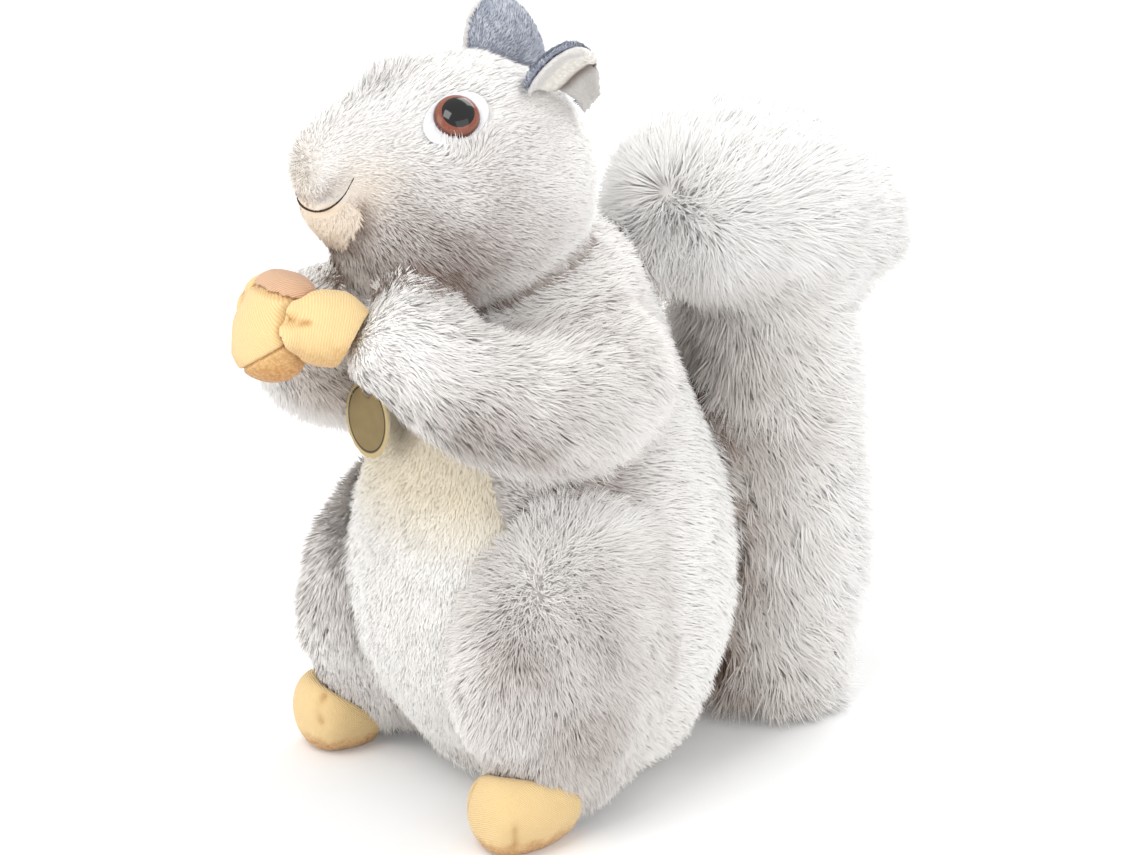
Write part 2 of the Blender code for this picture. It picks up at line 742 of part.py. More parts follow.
def cream_plush():
    return make_material("cream_plush", (0.87, 0.81, 0.68), 0.95)


def slate_plush():
    return make_material("slate_plush", (0.36, 0.38, 0.44), 0.95)


def pale_velboa():
    return make_material("pale_velboa", (0.66, 0.64, 0.63), 0.95)


def yellow_velour():
    return make_material("yellow_velour", (0.85, 0.58, 0.20), 0.9)


def tan_velour():
    return make_material("tan_velour", (0.60, 0.34, 0.17), 0.9)


def white_felt():
    return make_material("white_felt", (0.86, 0.86, 0.88), 0.95)


def eye_plastic():
    return make_material("eye_plastic", (0.16, 0.04, 0.02), 0.08)


def white_nylon():
    return make_material("white_nylon", (0.80, 0.80, 0.78), 0.4)


def dark_thread():
    return make_material("dark_thread", (0.03, 0.02, 0.02), 0.8)


def gold_card():
    return make_material("gold_card", (0.45, 0.33, 0.13), 0.45)


def add_body_rooms():
    # What the neighbours of the main pieces are cut back by
    add_cutter("head_room", head_form().mesh(*HEAD_FACETS, SEAM_GAP))
    add_cutter("torso_room", torso_form().mesh(*TORSO_FACETS, SEAM_GAP))
    add_cutter("torso_skin", torso_form().mesh(*TORSO_FACETS))
    add_cutter("chin_room", chin_form().mesh(*CHIN_FACETS, SEAM_GAP))
    add_cutter("mouth_room", mouth_form(MOUTH_RADIUS + SEAM_GAP).mesh(*MOUTH_FACETS))
    add_cutter("panel_room", panel_mesh(-PANEL_THICKNESS - SEAM_GAP, CUT_PAST, SEAM_GAP))
    add_cutter("acorn_room", acorn_form().mesh(*ACORN_FACETS, SEAM_GAP))
    add_cutter("cap_room", cap_form().mesh(*CAP_FACETS, SEAM_GAP))
    add_cutter("loop_room", moved(loop_mesh(LOOP_WIRE + SEAM_GAP), tag_matrix()))
    add_cutter("puff", puff_form().mesh(*PUFF_FACETS))
    tag = prism(TAG_HALF_WIDTH + SEAM_GAP, TAG_HALF_HEIGHT + SEAM_GAP, -SEAM_GAP,
                TAG_THICKNESS + SEAM_GAP)
    add_cutter("tag_room", moved(tag, tag_matrix()))


def add_side_rooms(side, word):
    add_cutter("arm_room_" + word, arm_form(side).mesh(*ARM_FACETS, SEAM_GAP))
    add_cutter("leg_room_" + word, leg_form(side).mesh(*LEG_FACETS, SEAM_GAP))
    matrix = eye_matrix(side)
    socket = felt_mesh(SEAM_GAP, 0, SOCKET_DEPTH + CUT_PAST)
    stem = prism(STEM_RADIUS + SEAM_GAP, STEM_RADIUS + SEAM_GAP, -STEM_LENGTH, SOCKET_DEPTH)
    washer = prism(WASHER_RADIUS + SEAM_GAP, WASHER_RADIUS + SEAM_GAP,
                   -WASHER_DEPTH - SEAM_GAP, -WASHER_DEPTH + WASHER_THICKNESS + SEAM_GAP)
    add_cutter("socket_" + word, moved(socket, matrix))
    add_cutter("stem_room_" + word, moved(stem, matrix))
    add_cutter("washer_room_" + word, moved(washer, matrix))


def build_torso():
    bm = torso_form().mesh(*TORSO_FACETS)
    cut_flat(bm, 0)
    torso = add_object("torso", bm, frosted_plush())
    cut(torso, "panel_room", "head_room", "tag_room", "loop_room")
    panel = add_object("belly_panel", panel_mesh(-PANEL_THICKNESS, CUT_PAST, 0), cream_plush())
    combine(panel, "torso_skin", "INTERSECT")
    cut(panel, "head_room", "tag_room", "loop_room")


def build_head():
    head = add_object("head", head_form().mesh(*HEAD_FACETS), frosted_plush())
    cut(head, "chin_room", "mouth_room", "loop_room")
    for _, word in SIDES:
        cut(head, "socket_" + word, "stem_room_" + word, "washer_room_" + word)
    chin = add_object("chin_panel", chin_form().mesh(*CHIN_FACETS), cream_plush())
    cut(chin, "mouth_room")
    add_object("mouth_stitch", mouth_form(MOUTH_RADIUS).mesh(*MOUTH_FACETS), dark_thread())


def build_eye(side, word):
    matrix = eye_matrix(side)
    felt = felt_mesh(0, SEAM_GAP, SEAM_GAP + FELT_THICKNESS)
    cut(add_object("eye_felt_" + word, moved(felt, matrix), white_felt()), "stem_room_" + word)
    add_object("eye_" + word, moved(eye_mesh(), matrix), eye_plastic())
    add_object("eye_washer_" + word, moved(washer_mesh(), matrix), white_nylon())


def build_ear(side, word):
    matrix = ear_matrix(side)
    back = add_object("ear_back_" + word, moved(ear_mesh(-EAR_SHEET, 0), matrix), slate_plush())
    lining = add_object("ear_lining_" + word,
                        moved(ear_mesh(SEAM_GAP, SEAM_GAP + EAR_SHEET), matrix), pale_velboa())
    for piece in (back, lining):
        cut(piece, "head_room")


def build_arm(side, word):
    arm = add_object("arm_" + word, arm_form(side).mesh(*ARM_FACETS), frosted_plush())
    cut(arm, "torso_room", "head_room", "chin_room", "tag_room", "loop_room")
    hand = add_object("hand_" + word, hand_form(side).mesh(*HAND_FACETS), yellow_velour())
    cut(hand, "arm_room_" + word, "acorn_room", "cap_room")


def build_leg(side, word):
    bm = leg_form(side).mesh(*LEG_FACETS)
    cut_flat(bm, 0)
    cut(add_object("leg_" + word, bm, frosted_plush()), "torso_room")
    bm = foot_form(side).mesh(*FOOT_FACETS)
    cut_flat(bm, 0)
    cut(add_object("foot_" + word, bm, yellow_velour()), "leg_room_" + word, "torso_room")


def build_acorn():
    add_object("acorn_nut", acorn_form().mesh(*ACORN_FACETS), yellow_velour())
    cut(add_object("acorn_cap", cap_form().mesh(*CAP_FACETS), tan_velour()), "acorn_room")


def build_tail():
    bm = tail_form().mesh(*TAIL_FACETS)
    cut_flat(bm, 0)
    tail = add_object("tail", bm, frosted_plush())
    combine(tail, "puff", "UNION")
    cut(tail, "torso_room", "head_room")


def build_tag():
    matrix = tag_matrix()
    hole = prism(TAG_HOLE_RADIUS, TAG_HOLE_RADIUS, -CUT_PAST, CUT_PAST, HOLE_SIDES)
    bmesh.ops.translate(hole, verts=hole.verts, vec=(0, TAG_HALF_HEIGHT - TAG_HOLE_INSET, 0))
    add_cutter("tag_hole", moved(hole, matrix))
    card = prism(TAG_HALF_WIDTH, TAG_HALF_HEIGHT, 0, TAG_THICKNESS)
    cut(add_object("neck_tag", moved(card, matrix), gold_card()), "tag_hole")
    add_object("tag_fastener", moved(loop_mesh(LOOP_WIRE), matrix), white_nylon())


def build_squirrel():
    add_body_rooms()
    for side, word in SIDES:
        add_side_rooms(side, word)
    build_torso()
    build_head()
    build_acorn()
    build_tail()
    build_tag()
    for side, word in SIDES:
        build_eye(side, word)
        build_ear(side, word)
        build_arm(side, word)
        build_leg(side, word)


def main():
    clear_scene()
    build_squirrel()


if __name__ == "__main__":
    main()
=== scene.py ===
# A sitting plush squirrel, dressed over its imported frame: long and short pile made of real
# strands, ribbed velour paws, a velour acorn, moulded eyes on felt and a card tag on its ring.
# Metres, +Z up, the squirrel looks along -Y. Places and sizes in the tables are millimetres.
import math
import bpy
import numpy as np
from mathutils import Matrix, Vector
from mathutils.bvhtree import BVHTree


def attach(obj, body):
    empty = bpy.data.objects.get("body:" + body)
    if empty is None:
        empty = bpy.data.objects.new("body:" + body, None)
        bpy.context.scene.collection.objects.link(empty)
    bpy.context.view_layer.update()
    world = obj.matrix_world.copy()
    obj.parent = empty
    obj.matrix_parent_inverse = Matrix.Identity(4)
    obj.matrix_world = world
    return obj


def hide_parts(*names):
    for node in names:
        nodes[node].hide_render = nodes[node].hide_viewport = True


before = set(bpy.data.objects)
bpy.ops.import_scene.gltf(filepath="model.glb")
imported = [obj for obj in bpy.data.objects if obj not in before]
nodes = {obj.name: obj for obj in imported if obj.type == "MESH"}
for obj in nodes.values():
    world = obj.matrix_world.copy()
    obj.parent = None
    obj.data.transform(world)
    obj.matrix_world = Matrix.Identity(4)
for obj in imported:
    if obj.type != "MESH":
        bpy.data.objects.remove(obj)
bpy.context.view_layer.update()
mm = 0.001
dice = np.random.default_rng(52)
sides = {"left": 1, "right": -1}
print("frame loaded with", len(nodes), "nodes")


def linked(name, data):
    made = bpy.data.objects.new(name, data)
    bpy.context.scene.collection.objects.link(made)
    return made


# Camera and light

cameraLook = {"azimuth": 52, "elevation": 24, "distance": 2.0, "target": (0, -0.02, 0.12),
              "focalPixels": 6520, "targetPixel": (505, 415), "picture": (1140, 855)}


def addCamera(look):
    wide, tall = look["picture"]
    data = bpy.data.cameras.new("studioCamera")
    camera = linked("studioCamera", data)
    turn = math.radians(look["azimuth"])
    rise = math.radians(look["elevation"])
    back = Vector((math.sin(turn) * math.cos(rise), -math.cos(turn) * math.cos(rise),
                   math.sin(rise)))
    right = Vector((math.cos(turn), math.sin(turn), 0))
    spin = Matrix((right, back.cross(right), back)).transposed().to_4x4()
    place = Vector(look["target"]) + back * look["distance"]
    camera.matrix_world = Matrix.Translation(place) @ spin
    data.sensor_width = 36
    data.lens = look["focalPixels"] / wide * data.sensor_width
    data.shift_x = (wide / 2 - look["targetPixel"][0]) / wide
    data.shift_y = (look["targetPixel"][1] - tall / 2) / wide
    data.clip_start = 0.05
    data.clip_end = 50
    bpy.context.scene.camera = camera


lampLook = {  # places and sizes in metres, power in watts
    "keyLamp": {"place": (0.3, -1.2, 2.1), "size": 1.0, "power": 18},
    "fillLamp": {"place": (1.9, -0.2, 0.9), "size": 1.6, "power": 10},
    "rimLamp": {"place": (-0.5, 1.7, 1.8), "size": 1.4, "power": 26},
    "frontLamp": {"place": (-0.7, -1.9, 0.7), "size": 1.3, "power": 10},
}
lampAim = Vector((0, 0, 0.12))


def addLamp(name, look):
    data = bpy.data.lights.new(name, "AREA")
    data.shape = "SQUARE"
    data.size = look["size"]
    data.energy = look["power"]
    lamp = linked(name, data)
    lamp.location = look["place"]
    lamp.rotation_mode = "QUATERNION"
    lamp.rotation_quaternion = (Vector(look["place"]) - lampAim).to_track_quat("Z", "Y")


addCamera(cameraLook)
for name, look in lampLook.items():
    addLamp(name, look)
print("camera and lamps placed")


# Shader maths as expressions


class Wire:
    # one output socket; sums and products of wires add Math nodes
    def __init__(self, paint, socket):
        self.paint = paint
        self.socket = socket

    def maths(self, operation, first, second):
        return self.paint.node("ShaderNodeMath", {"operation": operation}, {0: first, 1: second})

    def __add__(self, other):
        return self.maths("ADD", self, other)

    def __radd__(self, other):
        return self.maths("ADD", other, self)

    def __sub__(self, other):
        return self.maths("SUBTRACT", self, other)

    def __rsub__(self, other):
        return self.maths("SUBTRACT", other, self)

    def __mul__(self, other):
        return self.maths("MULTIPLY", self, other)

    def __rmul__(self, other):
        return self.maths("MULTIPLY", other, self)


class Paint:
    # the nodes of one material, or of the world, and the shader that they feed
    def __init__(self, owner, slot=None, shader="Principled BSDF", **plain):
        self.owner = bpy.data.materials.new(owner) if isinstance(owner, str) else owner
        self.slot = slot
        self.owner.use_nodes = True
        self.tree = self.owner.node_tree
        self.shader = self.tree.nodes[shader]
        for key, value in plain.items():
            self.give(key.replace("_", " "), value)

    def node(self, kind, settings, inputs, output=0):
        made = self.tree.nodes.new(kind)
        for key, value in settings.items():
            setattr(made, key, value)
        for key, value in inputs.items():
            self.feed(made.inputs[key], value)
        return Wire(self, made.outputs[output])

    def feed(self, socket, value):
        if isinstance(value, Wire):
            self.tree.links.new(value.socket, socket)
        elif socket.type == "RGBA":
            socket.default_value = (*value, 1)
        else:
            socket.default_value = value

    def give(self, name, value):
        self.feed(self.shader.inputs[name], value)

    def place(self):
        return self.node("ShaderNodeTexCoord", {}, {}, "Object")

    def read(self, name):
        # the three numbers that the mesh carries under this name
        vector = self.node("ShaderNodeAttribute", {"attribute_name": name}, {}, "Vector")
        split = self.node("ShaderNodeSeparateXYZ", {}, {0: vector}).socket.node
        return [Wire(self, output) for output in split.outputs]

    def noise(self, spot, scale, detail=2.0, rough=0.5, **settings):
        return self.node("ShaderNodeTexNoise", settings, {"Vector": spot, "Scale": scale,
                                                          "Detail": detail, "Roughness": rough})

    def knots(self, spot, scale):
        return self.node("ShaderNodeTexVoronoi", {"feature": "F1"},
                         {"Vector": spot, "Scale": scale}, "Distance")

    def wave(self, turns):
        # from 0 to 1 and back with each whole turn
        sine = self.node("ShaderNodeMath", {"operation": "SINE"}, {0: turns * 6.2832})
        return sine * 0.5 + 0.5

    def mixed(self, share, first, second, blend="MIX"):
        return self.node("ShaderNodeMix", {"data_type": "RGBA", "blend_type": blend},
                         {0: share, 6: first, 7: second}, 2)

    def eased(self, value, low, high):
        return self.node("ShaderNodeMapRange", {"interpolation_type": "SMOOTHSTEP"},
                         {0: value, 1: low, 2: high, 3: 0.0, 4: 1.0})

    def finished(self, colour, rough, height=None, strength=0.5, distance=0.0003):
        self.give("Base Color", colour)
        self.give("Roughness", rough)
        if height is not None:
            self.give("Normal", self.node("ShaderNodeBump", {}, {
                "Strength": strength, "Distance": distance, "Height": height}))
        return self

    def seen(self):
        # 1 for rays from the camera, off gloss and through clear pieces
        rays = self.node("ShaderNodeLightPath", {}, {}).socket.node.outputs
        camera, glossy, clear = (Wire(self, rays["Is " + kind + " Ray"])
                                 for kind in ("Camera", "Glossy", "Transmission"))
        return camera + glossy + clear


# Mesh arrays


def arraysOf(mesh):
    points = np.empty(len(mesh.vertices) * 3, np.float32)
    mesh.vertices.foreach_get("co", points)
    mesh.calc_loop_triangles()
    faces = np.empty(len(mesh.loop_triangles) * 3, np.int32)
    mesh.loop_triangles.foreach_get("vertices", faces)
    return points.reshape(-1, 3).astype(float), faces.reshape(-1, 3)


def meshFrom(name, points, faces):
    mesh = bpy.data.meshes.new(name)
    mesh.vertices.add(len(points))
    mesh.vertices.foreach_set("co", np.asarray(points, np.float32).ravel())
    mesh.loops.add(faces.size)
    mesh.loops.foreach_set("vertex_index", np.asarray(faces, np.int32).ravel())
    mesh.polygons.add(len(faces))
    width = faces.shape[1]
    mesh.polygons.foreach_set("loop_start", np.arange(0, faces.size, width, dtype=np.int32))
    mesh.update(calc_edges=True)
    mesh.polygons.foreach_set("use_smooth", np.ones(len(faces), bool))
    return mesh


def columns(*values):
    # values side by side, each an array or one number for all
    return np.stack(np.broadcast_arrays(*values), axis=1)


def unit(vectors):
    length = np.linalg.norm(vectors, axis=-1, keepdims=True)
    return vectors / np.maximum(length, 1e-12)


def facingsOf(points, faces):
    # each triangle's normal, as long as twice its area
    corners = points[faces]
    return np.cross(corners[:, 1] - corners[:, 0], corners[:, 2] - corners[:, 0])


def gathered(index, values, count):
    return columns(*(np.bincount(index, column, count) for column in values.T))


def normalsOf(points, faces):
    facing = facingsOf(points, faces)
    return unit(sum(gathered(corner, facing, len(points)) for corner in faces.T))


def pushed(points, faces, depth):
    # points moved along their normals, in millimetres
    return points + normalsOf(points, faces) * (depth * mm * np.ones(len(points)))[:, None]


def edgesOf(faces):
    pairs = np.concatenate([faces[:, [0, 1]], faces[:, [1, 2]], faces[:, [2, 0]]])
    return np.unique(np.sort(pairs, axis=1), axis=0)


def relaxed(values, edges, rounds, share=0.5):
    # each value drawn towards its neighbours' mean, several times
    flat = values.ndim == 1
    values = values[:, None] if flat else values
    ends = np.concatenate([edges[:, 0], edges[:, 1]])
    others = np.concatenate([edges[:, 1], edges[:, 0]])
    near = np.maximum(np.bincount(ends, minlength=len(values)), 1)[:, None]
    for _ in range(rounds):
        mean = gathered(ends, values[others], len(values)) / near
        values = values + (mean - values) * share
    return values[:, 0] if flat else values


def remeshed(points, faces, voxel):
    mesh = meshFrom("remeshing", points, faces)
    holder = linked("remeshing", mesh)
    remesh = holder.modifiers.new("remesh", "REMESH")
    remesh.mode = "VOXEL"
    remesh.voxel_size = voxel * mm
    evaluated = holder.evaluated_get(bpy.context.evaluated_depsgraph_get())
    made = arraysOf(evaluated.to_mesh())
    evaluated.to_mesh_clear()
    bpy.data.objects.remove(holder)
    bpy.data.meshes.remove(mesh)
    return made


def hashed(cells, seed):
    # a repeatable number from 0 to 1 for each whole-number cell
    mixed = (cells[..., 0] * 73856093) ^ (cells[..., 1] * 19349663) ^ (cells[..., 2] * 83492791)
    mixed = (mixed + seed * 2654435761) & 0xFFFFFFFF
    mixed = ((mixed ^ (mixed >> 15)) * 2246822519) & 0xFFFFFFFF
    mixed = ((mixed ^ (mixed >> 13)) * 3266489917) & 0xFFFFFFFF
    return ((mixed ^ (mixed >> 16)) & 0xFFFFFF) / 0xFFFFFF


def drift(points, size, seed):
    # smooth noise from -1 to 1 with features of about that size in millimetres
    spot = points / (size * mm)
    low = np.floor(spot).astype(np.int64)
    part = spot - low
    part = part * part * (3 - 2 * part)
    total = np.zeros(len(points))
    for corner in range(8):
        step = np.array([corner & 1, (corner >> 1) & 1, (corner >> 2) & 1])
        weight = np.prod(np.where(step, part, 1 - part), axis=1)
        total += weight * hashed(low + step, seed)
    return total * 2 - 1


def tuftsOf(points, size, seed):
    # for each point, the way to the middle of its tuft and a number of that tuft's own
    spot = points / size
    low = np.floor(spot).astype(np.int64)
    best = np.full(len(points), 1e9)
    way = np.zeros_like(points)
    own = np.zeros(len(points))
    for step in np.ndindex(3, 3, 3):
        cell = low + np.array(step) - 1
        gap = cell + columns(*(hashed(cell, seed + axis) for axis in range(3))) - spot
        away = np.einsum("ij,ij->i", gap, gap)
        nearer = away < best
        best = np.where(nearer, away, best)
        way[nearer] = gap[nearer] * size
        own[nearer] = hashed(cell[nearer], seed + 7)
    return way, own


def ramp(values, low, high):
    # from 0 at low to 1 at high, and flat beyond them
    return np.clip((values - low) / (high - low), 0, 1)


def eased(values, low, high):
    share = ramp(values, low, high)
    return share * share * (3 - 2 * share)


def blob(points, middle, reach):
    # 1 at the middle, fading to 0 past the reach along each axis
    side = np.abs(points - np.array(middle)) / np.array(reach)
    return np.exp(-(side ** 2).sum(axis=1))


def patched(points, base, rows):
    # a base value with soft patches on it: how much, where and how far
    for amount, middle, reach in rows:
        base = base + amount * blob(points, middle, reach)
    return base


def mirrored(points):
    return columns(np.abs(points[:, 0]), points[:, 1], points[:, 2])


def awayFrom(points, path):
    # distance to a line of straight runs, all in millimetres
    best = np.full(len(points), 1e9)
    for start, end in zip(path[:-1], path[1:]):
        start = np.array(start, float)
        run = np.array(end, float) - start
        share = np.clip((points - start) @ run / (run @ run), 0, 1)
        best = np.minimum(best, np.linalg.norm(points - start - share[:, None] * run, axis=1))
    return best


def treeOf(name):
    points, faces = arraysOf(nodes[name].data)
    return BVHTree.FromPolygons(points.tolist(), faces.tolist())


def gapTo(name, points, reach):
    # how far each point is from a node, up to the reach, in metres
    tree = treeOf(name)
    gaps = [tree.find_nearest(spot, reach)[3] for spot in points.tolist()]
    return np.array([reach if gap is None else gap for gap in gaps])


# Body: one smooth skin under all the plush, split afterwards by the piece it belongs to

# blend is in rounds of smoothing; brow and cuff keep more of the stuffing, and so show higher
skinLook = {"voxel": 2.8, "swell": 0.5, "smooth": 4, "steps": 8, "blend": 14, "lowest": 0.6,
            "settle": 0.35, "seamRounds": 3, "seamGain": 1.6,
            "brow": (0.8, (-11, -59, 236), (11, 17, 8)),
            "cuff": (0.7, (20, -86, 172), (13, 13, 13))}

# pile is how deep the coat is; a strand turns from the first lie to the second, in radians;
# its tip is pulled to the middle of a tuft, and soft bends its normal towards the skin's
armLook = {"pile": 5.2, "length": 9.2, "count": 32000, "width": 0.40, "fill": 0.8,
           "lie": (0.4, 1.2), "tuft": 2.0, "pull": 0.35, "soft": 1.8}
legLook = {"pile": 4.6, "length": 8.4, "count": 32000, "width": 0.40, "fill": 0.85,
           "lie": (0.45, 1.2), "tuft": 2.4, "pull": 0.36, "soft": 1.8}
coatLook = {
    "torso": {"pile": 4.0, "length": 7.4, "count": 48000, "width": 0.42, "fill": 0.85,
              "lie": (0.65, 1.3), "tuft": 1.6, "pull": 0.2, "soft": 3.6, "swing": 0.7},
    "belly_panel": {"pile": 2.0, "length": 3.1, "count": 34000, "width": 0.36, "fill": 0.85,
                    "lie": (0.5, 1.15), "tuft": 1.6, "pull": 0.1, "soft": 6.0, "swing": 0.4},
    "head": {"pile": 2.4, "length": 4.7, "count": 74000, "width": 0.29, "fill": 0.9,
             "lie": (0.75, 1.3), "tuft": 1.3, "pull": 0.1, "soft": 3.4, "swing": 0.7,
             # the head's strong seam band is painted shade in the crease where the head sits over
             # the neck
             "seam": 0.6},
    "chin_panel": {"pile": 1.0, "length": 2.1, "count": 8000, "width": 0.30, "fill": 0.85,
                   "lie": (0.6, 1.25), "tuft": 1.4, "pull": 0.2, "soft": 2.0},
    "arm_left": armLook, "arm_right": armLook, "leg_left": legLook, "leg_right": legLook,
    "tail": {"pile": 9.0, "length": 16.0, "count": 52500, "width": 0.56, "fill": 0.75,
             "lie": (0.55, 1.25)},
}
tailHalves = {"trunk": {"span": (0, 146), "tuft": 5.0, "pull": 0.6, "soft": 2.2, "swing": 1.35},
              "puff": {"span": (146, 999), "tuft": 2.4, "pull": 0.25, "soft": 4.5}}
coatNames = list(coatLook)


def nearestNode(points, names):
    trees = [treeOf(name) for name in names]
    label = np.zeros(len(points), int)
    for index, spot in enumerate(points.tolist()):
        best = 9.0
        for number, tree in enumerate(trees):
            away = tree.find_nearest(spot, min(best, 6 * mm))[3]
            if away is not None and away < best:
                best = away
                label[index] = number
    return label


def makeSkin(look):
    points = np.empty((0, 3))
    faces = np.empty((0, 3), int)
    for name in coatNames:
        own, ownFaces = arraysOf(nodes[name].data)
        faces = np.concatenate([faces, ownFaces + len(points)])
        points = np.concatenate([points, pushed(own, ownFaces, look["swell"])])
    points, faces = remeshed(points, faces, look["voxel"])
    edges = edgesOf(faces)
    label = nearestNode(points, coatNames)
    points = relaxed(points, edges, look["smooth"])
    pile = np.array([coatLook[name]["pile"] for name in coatNames])[label] * mm
    pile = relaxed(pile, edges, look["blend"])
    brow = patched(points * 1000, 0, [look["brow"]])
    cuff = patched(mirrored(points * 1000), 0, [look["cuff"]])
    inset = pile * (1 - np.maximum(brow, cuff))
    for _ in range(look["steps"]):
        points = points - normalsOf(points, faces) * (inset / look["steps"])[:, None]
        points = relaxed(points, edges, 1, look["settle"])
    points[:, 2] = np.maximum(points[:, 2], look["lowest"] * mm)
    # the seams between pieces, as a soft band where the coat shows its darker roots: partly the
    # coat parting at its seams, partly painted shade in the creases between pieces
    other = label[edges[:, 0]] != label[edges[:, 1]]
    seam = np.zeros(len(points))
    seam[edges[other].ravel()] = 1
    seam = np.clip(relaxed(seam, edges, look["seamRounds"]) * look["seamGain"], 0, 1)
    return points, faces, label, pile, seam


skinPoints, skinFaces, skinLabel, skinPile, skinSeam = makeSkin(skinLook)
skinNormals = normalsOf(skinPoints, skinFaces)
print("skin made,", len(skinFaces), "faces")


# Eye places, read from the felt ovals


def discFrame(name, toward):
    # the middle, long axis, short axis and facing of a flat oval node
    points, _ = arraysOf(nodes[name].data)
    middle = points.mean(axis=0)
    _, _, axes = np.linalg.svd(points - middle)
    facing = axes[2] if axes[2] @ toward > 0 else -axes[2]
    long = axes[0] if axes[0][2] > 0 else -axes[0]
    return middle, long, np.cross(facing, long), facing


def upwardOn(facing):
    return unit(np.array([0, 0, 1.0]) - facing * facing[2])


feltFrames = {side: discFrame("eye_felt_" + side, np.array([out, 0, 0.3]))
              for side, out in sides.items()}


# Which way the coat lies, how dark its roots show and how warm it is, and how long and how far
# over its strands lie against their piece's own; all from places in millimetres

noseTip = np.array([-10.8, -92, 217])
legTop = (54, -47, 90)
tailCurl = (17, 36, 176)
mouthLine = [(-3.4, -91, 206), (0.4, -88.5, 209.5), (5.3, -84, 218.4)]


def around(points, middle, spread=12):
    # away from a middle that is mirrored to each point's own side
    side = np.clip(points[:, 0] / spread, -1, 1)
    return unit(points - columns(side * middle[0], middle[1], middle[2]))


def wandering(points, size, seed, reach):
    # places moved about by smooth noise, so that the coat parts unevenly
    return points + columns(*(drift(points * mm, size, seed + axis) for axis in range(3))) * reach


def farFrom(points, middle):
    return np.linalg.norm(mirrored(points) - np.array(middle), axis=1)


def plainTrim(points):
    return 1, 1


def torsoFlow(points):
    x, y, z = points.T
    behind = ramp(y, 8, 42)
    low = ramp(z, 60, 0)
    return columns(-0.25 * np.where(x < 0, -1.0, 1.0) * behind,
                   0.95 - 0.8 * behind - 0.3 * low, -0.30 - 0.6 * behind - 0.5 * low)


def torsoTone(points):
    # painted shade under the arm, where its shadow falls on the flank, and a second darker patch
    # behind the shoulder
    dark = patched(mirrored(points), 0.03, [(0.85, (46, -30, 114), (24, 24, 17)),
                                            (0.45, (40, -6, 158), (22, 26, 24))])
    return dark, 0.14 + 0.25 * ramp(points[:, 2], 40, 0)


def bellyFlow(points):
    return columns(points[:, 0] * 0.006, -0.1, -1.0)


def bellyTone(points):
    return 0, 0.12 + 1.1 * ramp(points[:, 2], 88, 114)


def mouthGap(points):
    # shorter beside the mouth thread, and none on it
    away = gapTo("mouth_stitch", points * mm, 6 * mm) / mm
    lower = eased(points[:, 2], 217, 210)
    return (1 - lower * (1 - (0.5 + 0.5 * eased(away, 1.5, 5.5)))) * (away > 1.3 * lower)


def earGap(points):
    # shorter in front of each ear, so that its lower lobe stays clear
    away = np.minimum(*(gapTo("ear_lining_" + side, points * mm, 9 * mm) for side in sides))
    return 0.3 + 0.7 * eased(away / mm, 1.5, 8)


# darker low on the cheeks and towards the neck: partly the coat's brown-grey, partly painted shade
# under the head
headDark = [(0.80, (16, -72, 192), (16, 18, 15)), (0.55, (32, -46, 183), (22, 26, 15)),
            (0.34, (32, -56, 206), (18, 24, 18)), (-0.12, (4, -70, 232), (30, 40, 16))]
headWarm = [(0.5, (10, -80, 214), (10, 12, 10)), (0.9, (9, -85, 207), (6, 8, 9))]
headLong = [(0.55, (28, -48, 186), (18, 26, 12)), (0.5, (6, -30, 240), (20, 22, 12)),
            (0.6, (21, -62, 222), (6, 8, 6)), (-0.35, (5, -90, 214), (14, 14, 16)),
            (-0.55, (27, -18, 223), (7, 9, 6))]
browLong = (0.7, (-13, -57, 236), (9, 14, 7))  # on the right alone, it hides the far eye


def headFlow(points):
    away = unit(points - noseTip)
    away[:, 2] -= np.clip((200 - points[:, 2]) / 60, 0, 0.5) * 0.5
    for middle, _, _, facing in feltFrames.values():
        # short tips cross the lower edge of each eye
        upward = upwardOn(facing)
        under = blob(points, (middle - upward * 9.5 * mm) * 1000, (8, 8, 4.5))[:, None]
        under = np.minimum(under * 1.6, 1)
        away = away * (1 - under) + upward * under
    return away


def headTone(points):
    spot = mirrored(points)
    dark = patched(spot, 0.16, headDark)
    # painted shade along the mouth slit
    dark += 0.40 * np.exp(-(awayFrom(points, mouthLine) / 1.8) ** 2) * (points[:, 1] > -90)
    return dark, patched(spot, 0.10, headWarm)


def headTrim(points):
    brow = blob(points, *browLong[1:])
    trim = patched(mirrored(points), 0.85, headLong) + browLong[0] * brow
    for middle, _, _, facing in feltFrames.values():
        trim += blob(points, (middle - upwardOn(facing) * 8.5 * mm) * 1000, (7, 7, 3.5))
    ease = eased(np.linalg.norm(points - noseTip, axis=1), 0, 12)
    return trim * mouthGap(points) * earGap(points), ease * (1 - 0.55 * brow)


def chinFlow(points):
    return columns(points[:, 0] * 0.01, 0.5, -0.8)


def chinTone(points):
    # darker towards its lower edge: partly the chin's brownish edge, partly painted shade under the
    # muzzle
    return 0.05 + 0.5 * ramp(points[:, 2], 196, 188), 1.3


def chinTrim(points):
    return mouthGap(points), 1


# darker low on each sleeve: partly the coat's brownish grey, partly painted shade on its underside
armDark = [(0.48, (52, -70, 146), (22, 18, 13)), (0.42, (58, -46, 136), (18, 22, 14)),
           (-0.20, (34, -80, 178), (20, 18, 14)), (-0.22, (24, -90, 176), (12, 12, 12))]


def armFlow(points):
    # away from inside the paw, then along the sleeve, hanging at its lower edge
    side = np.where(points[:, 0] < 0, -1.0, 1.0)
    fromPaw = points - columns(side * 14, -100.0, 175.0)
    far = ramp(np.linalg.norm(fromPaw, axis=1), 26, 71)[:, None]
    return unit(fromPaw) * (1 - far) + columns(side * 0.3, 0.85, -0.75) * far


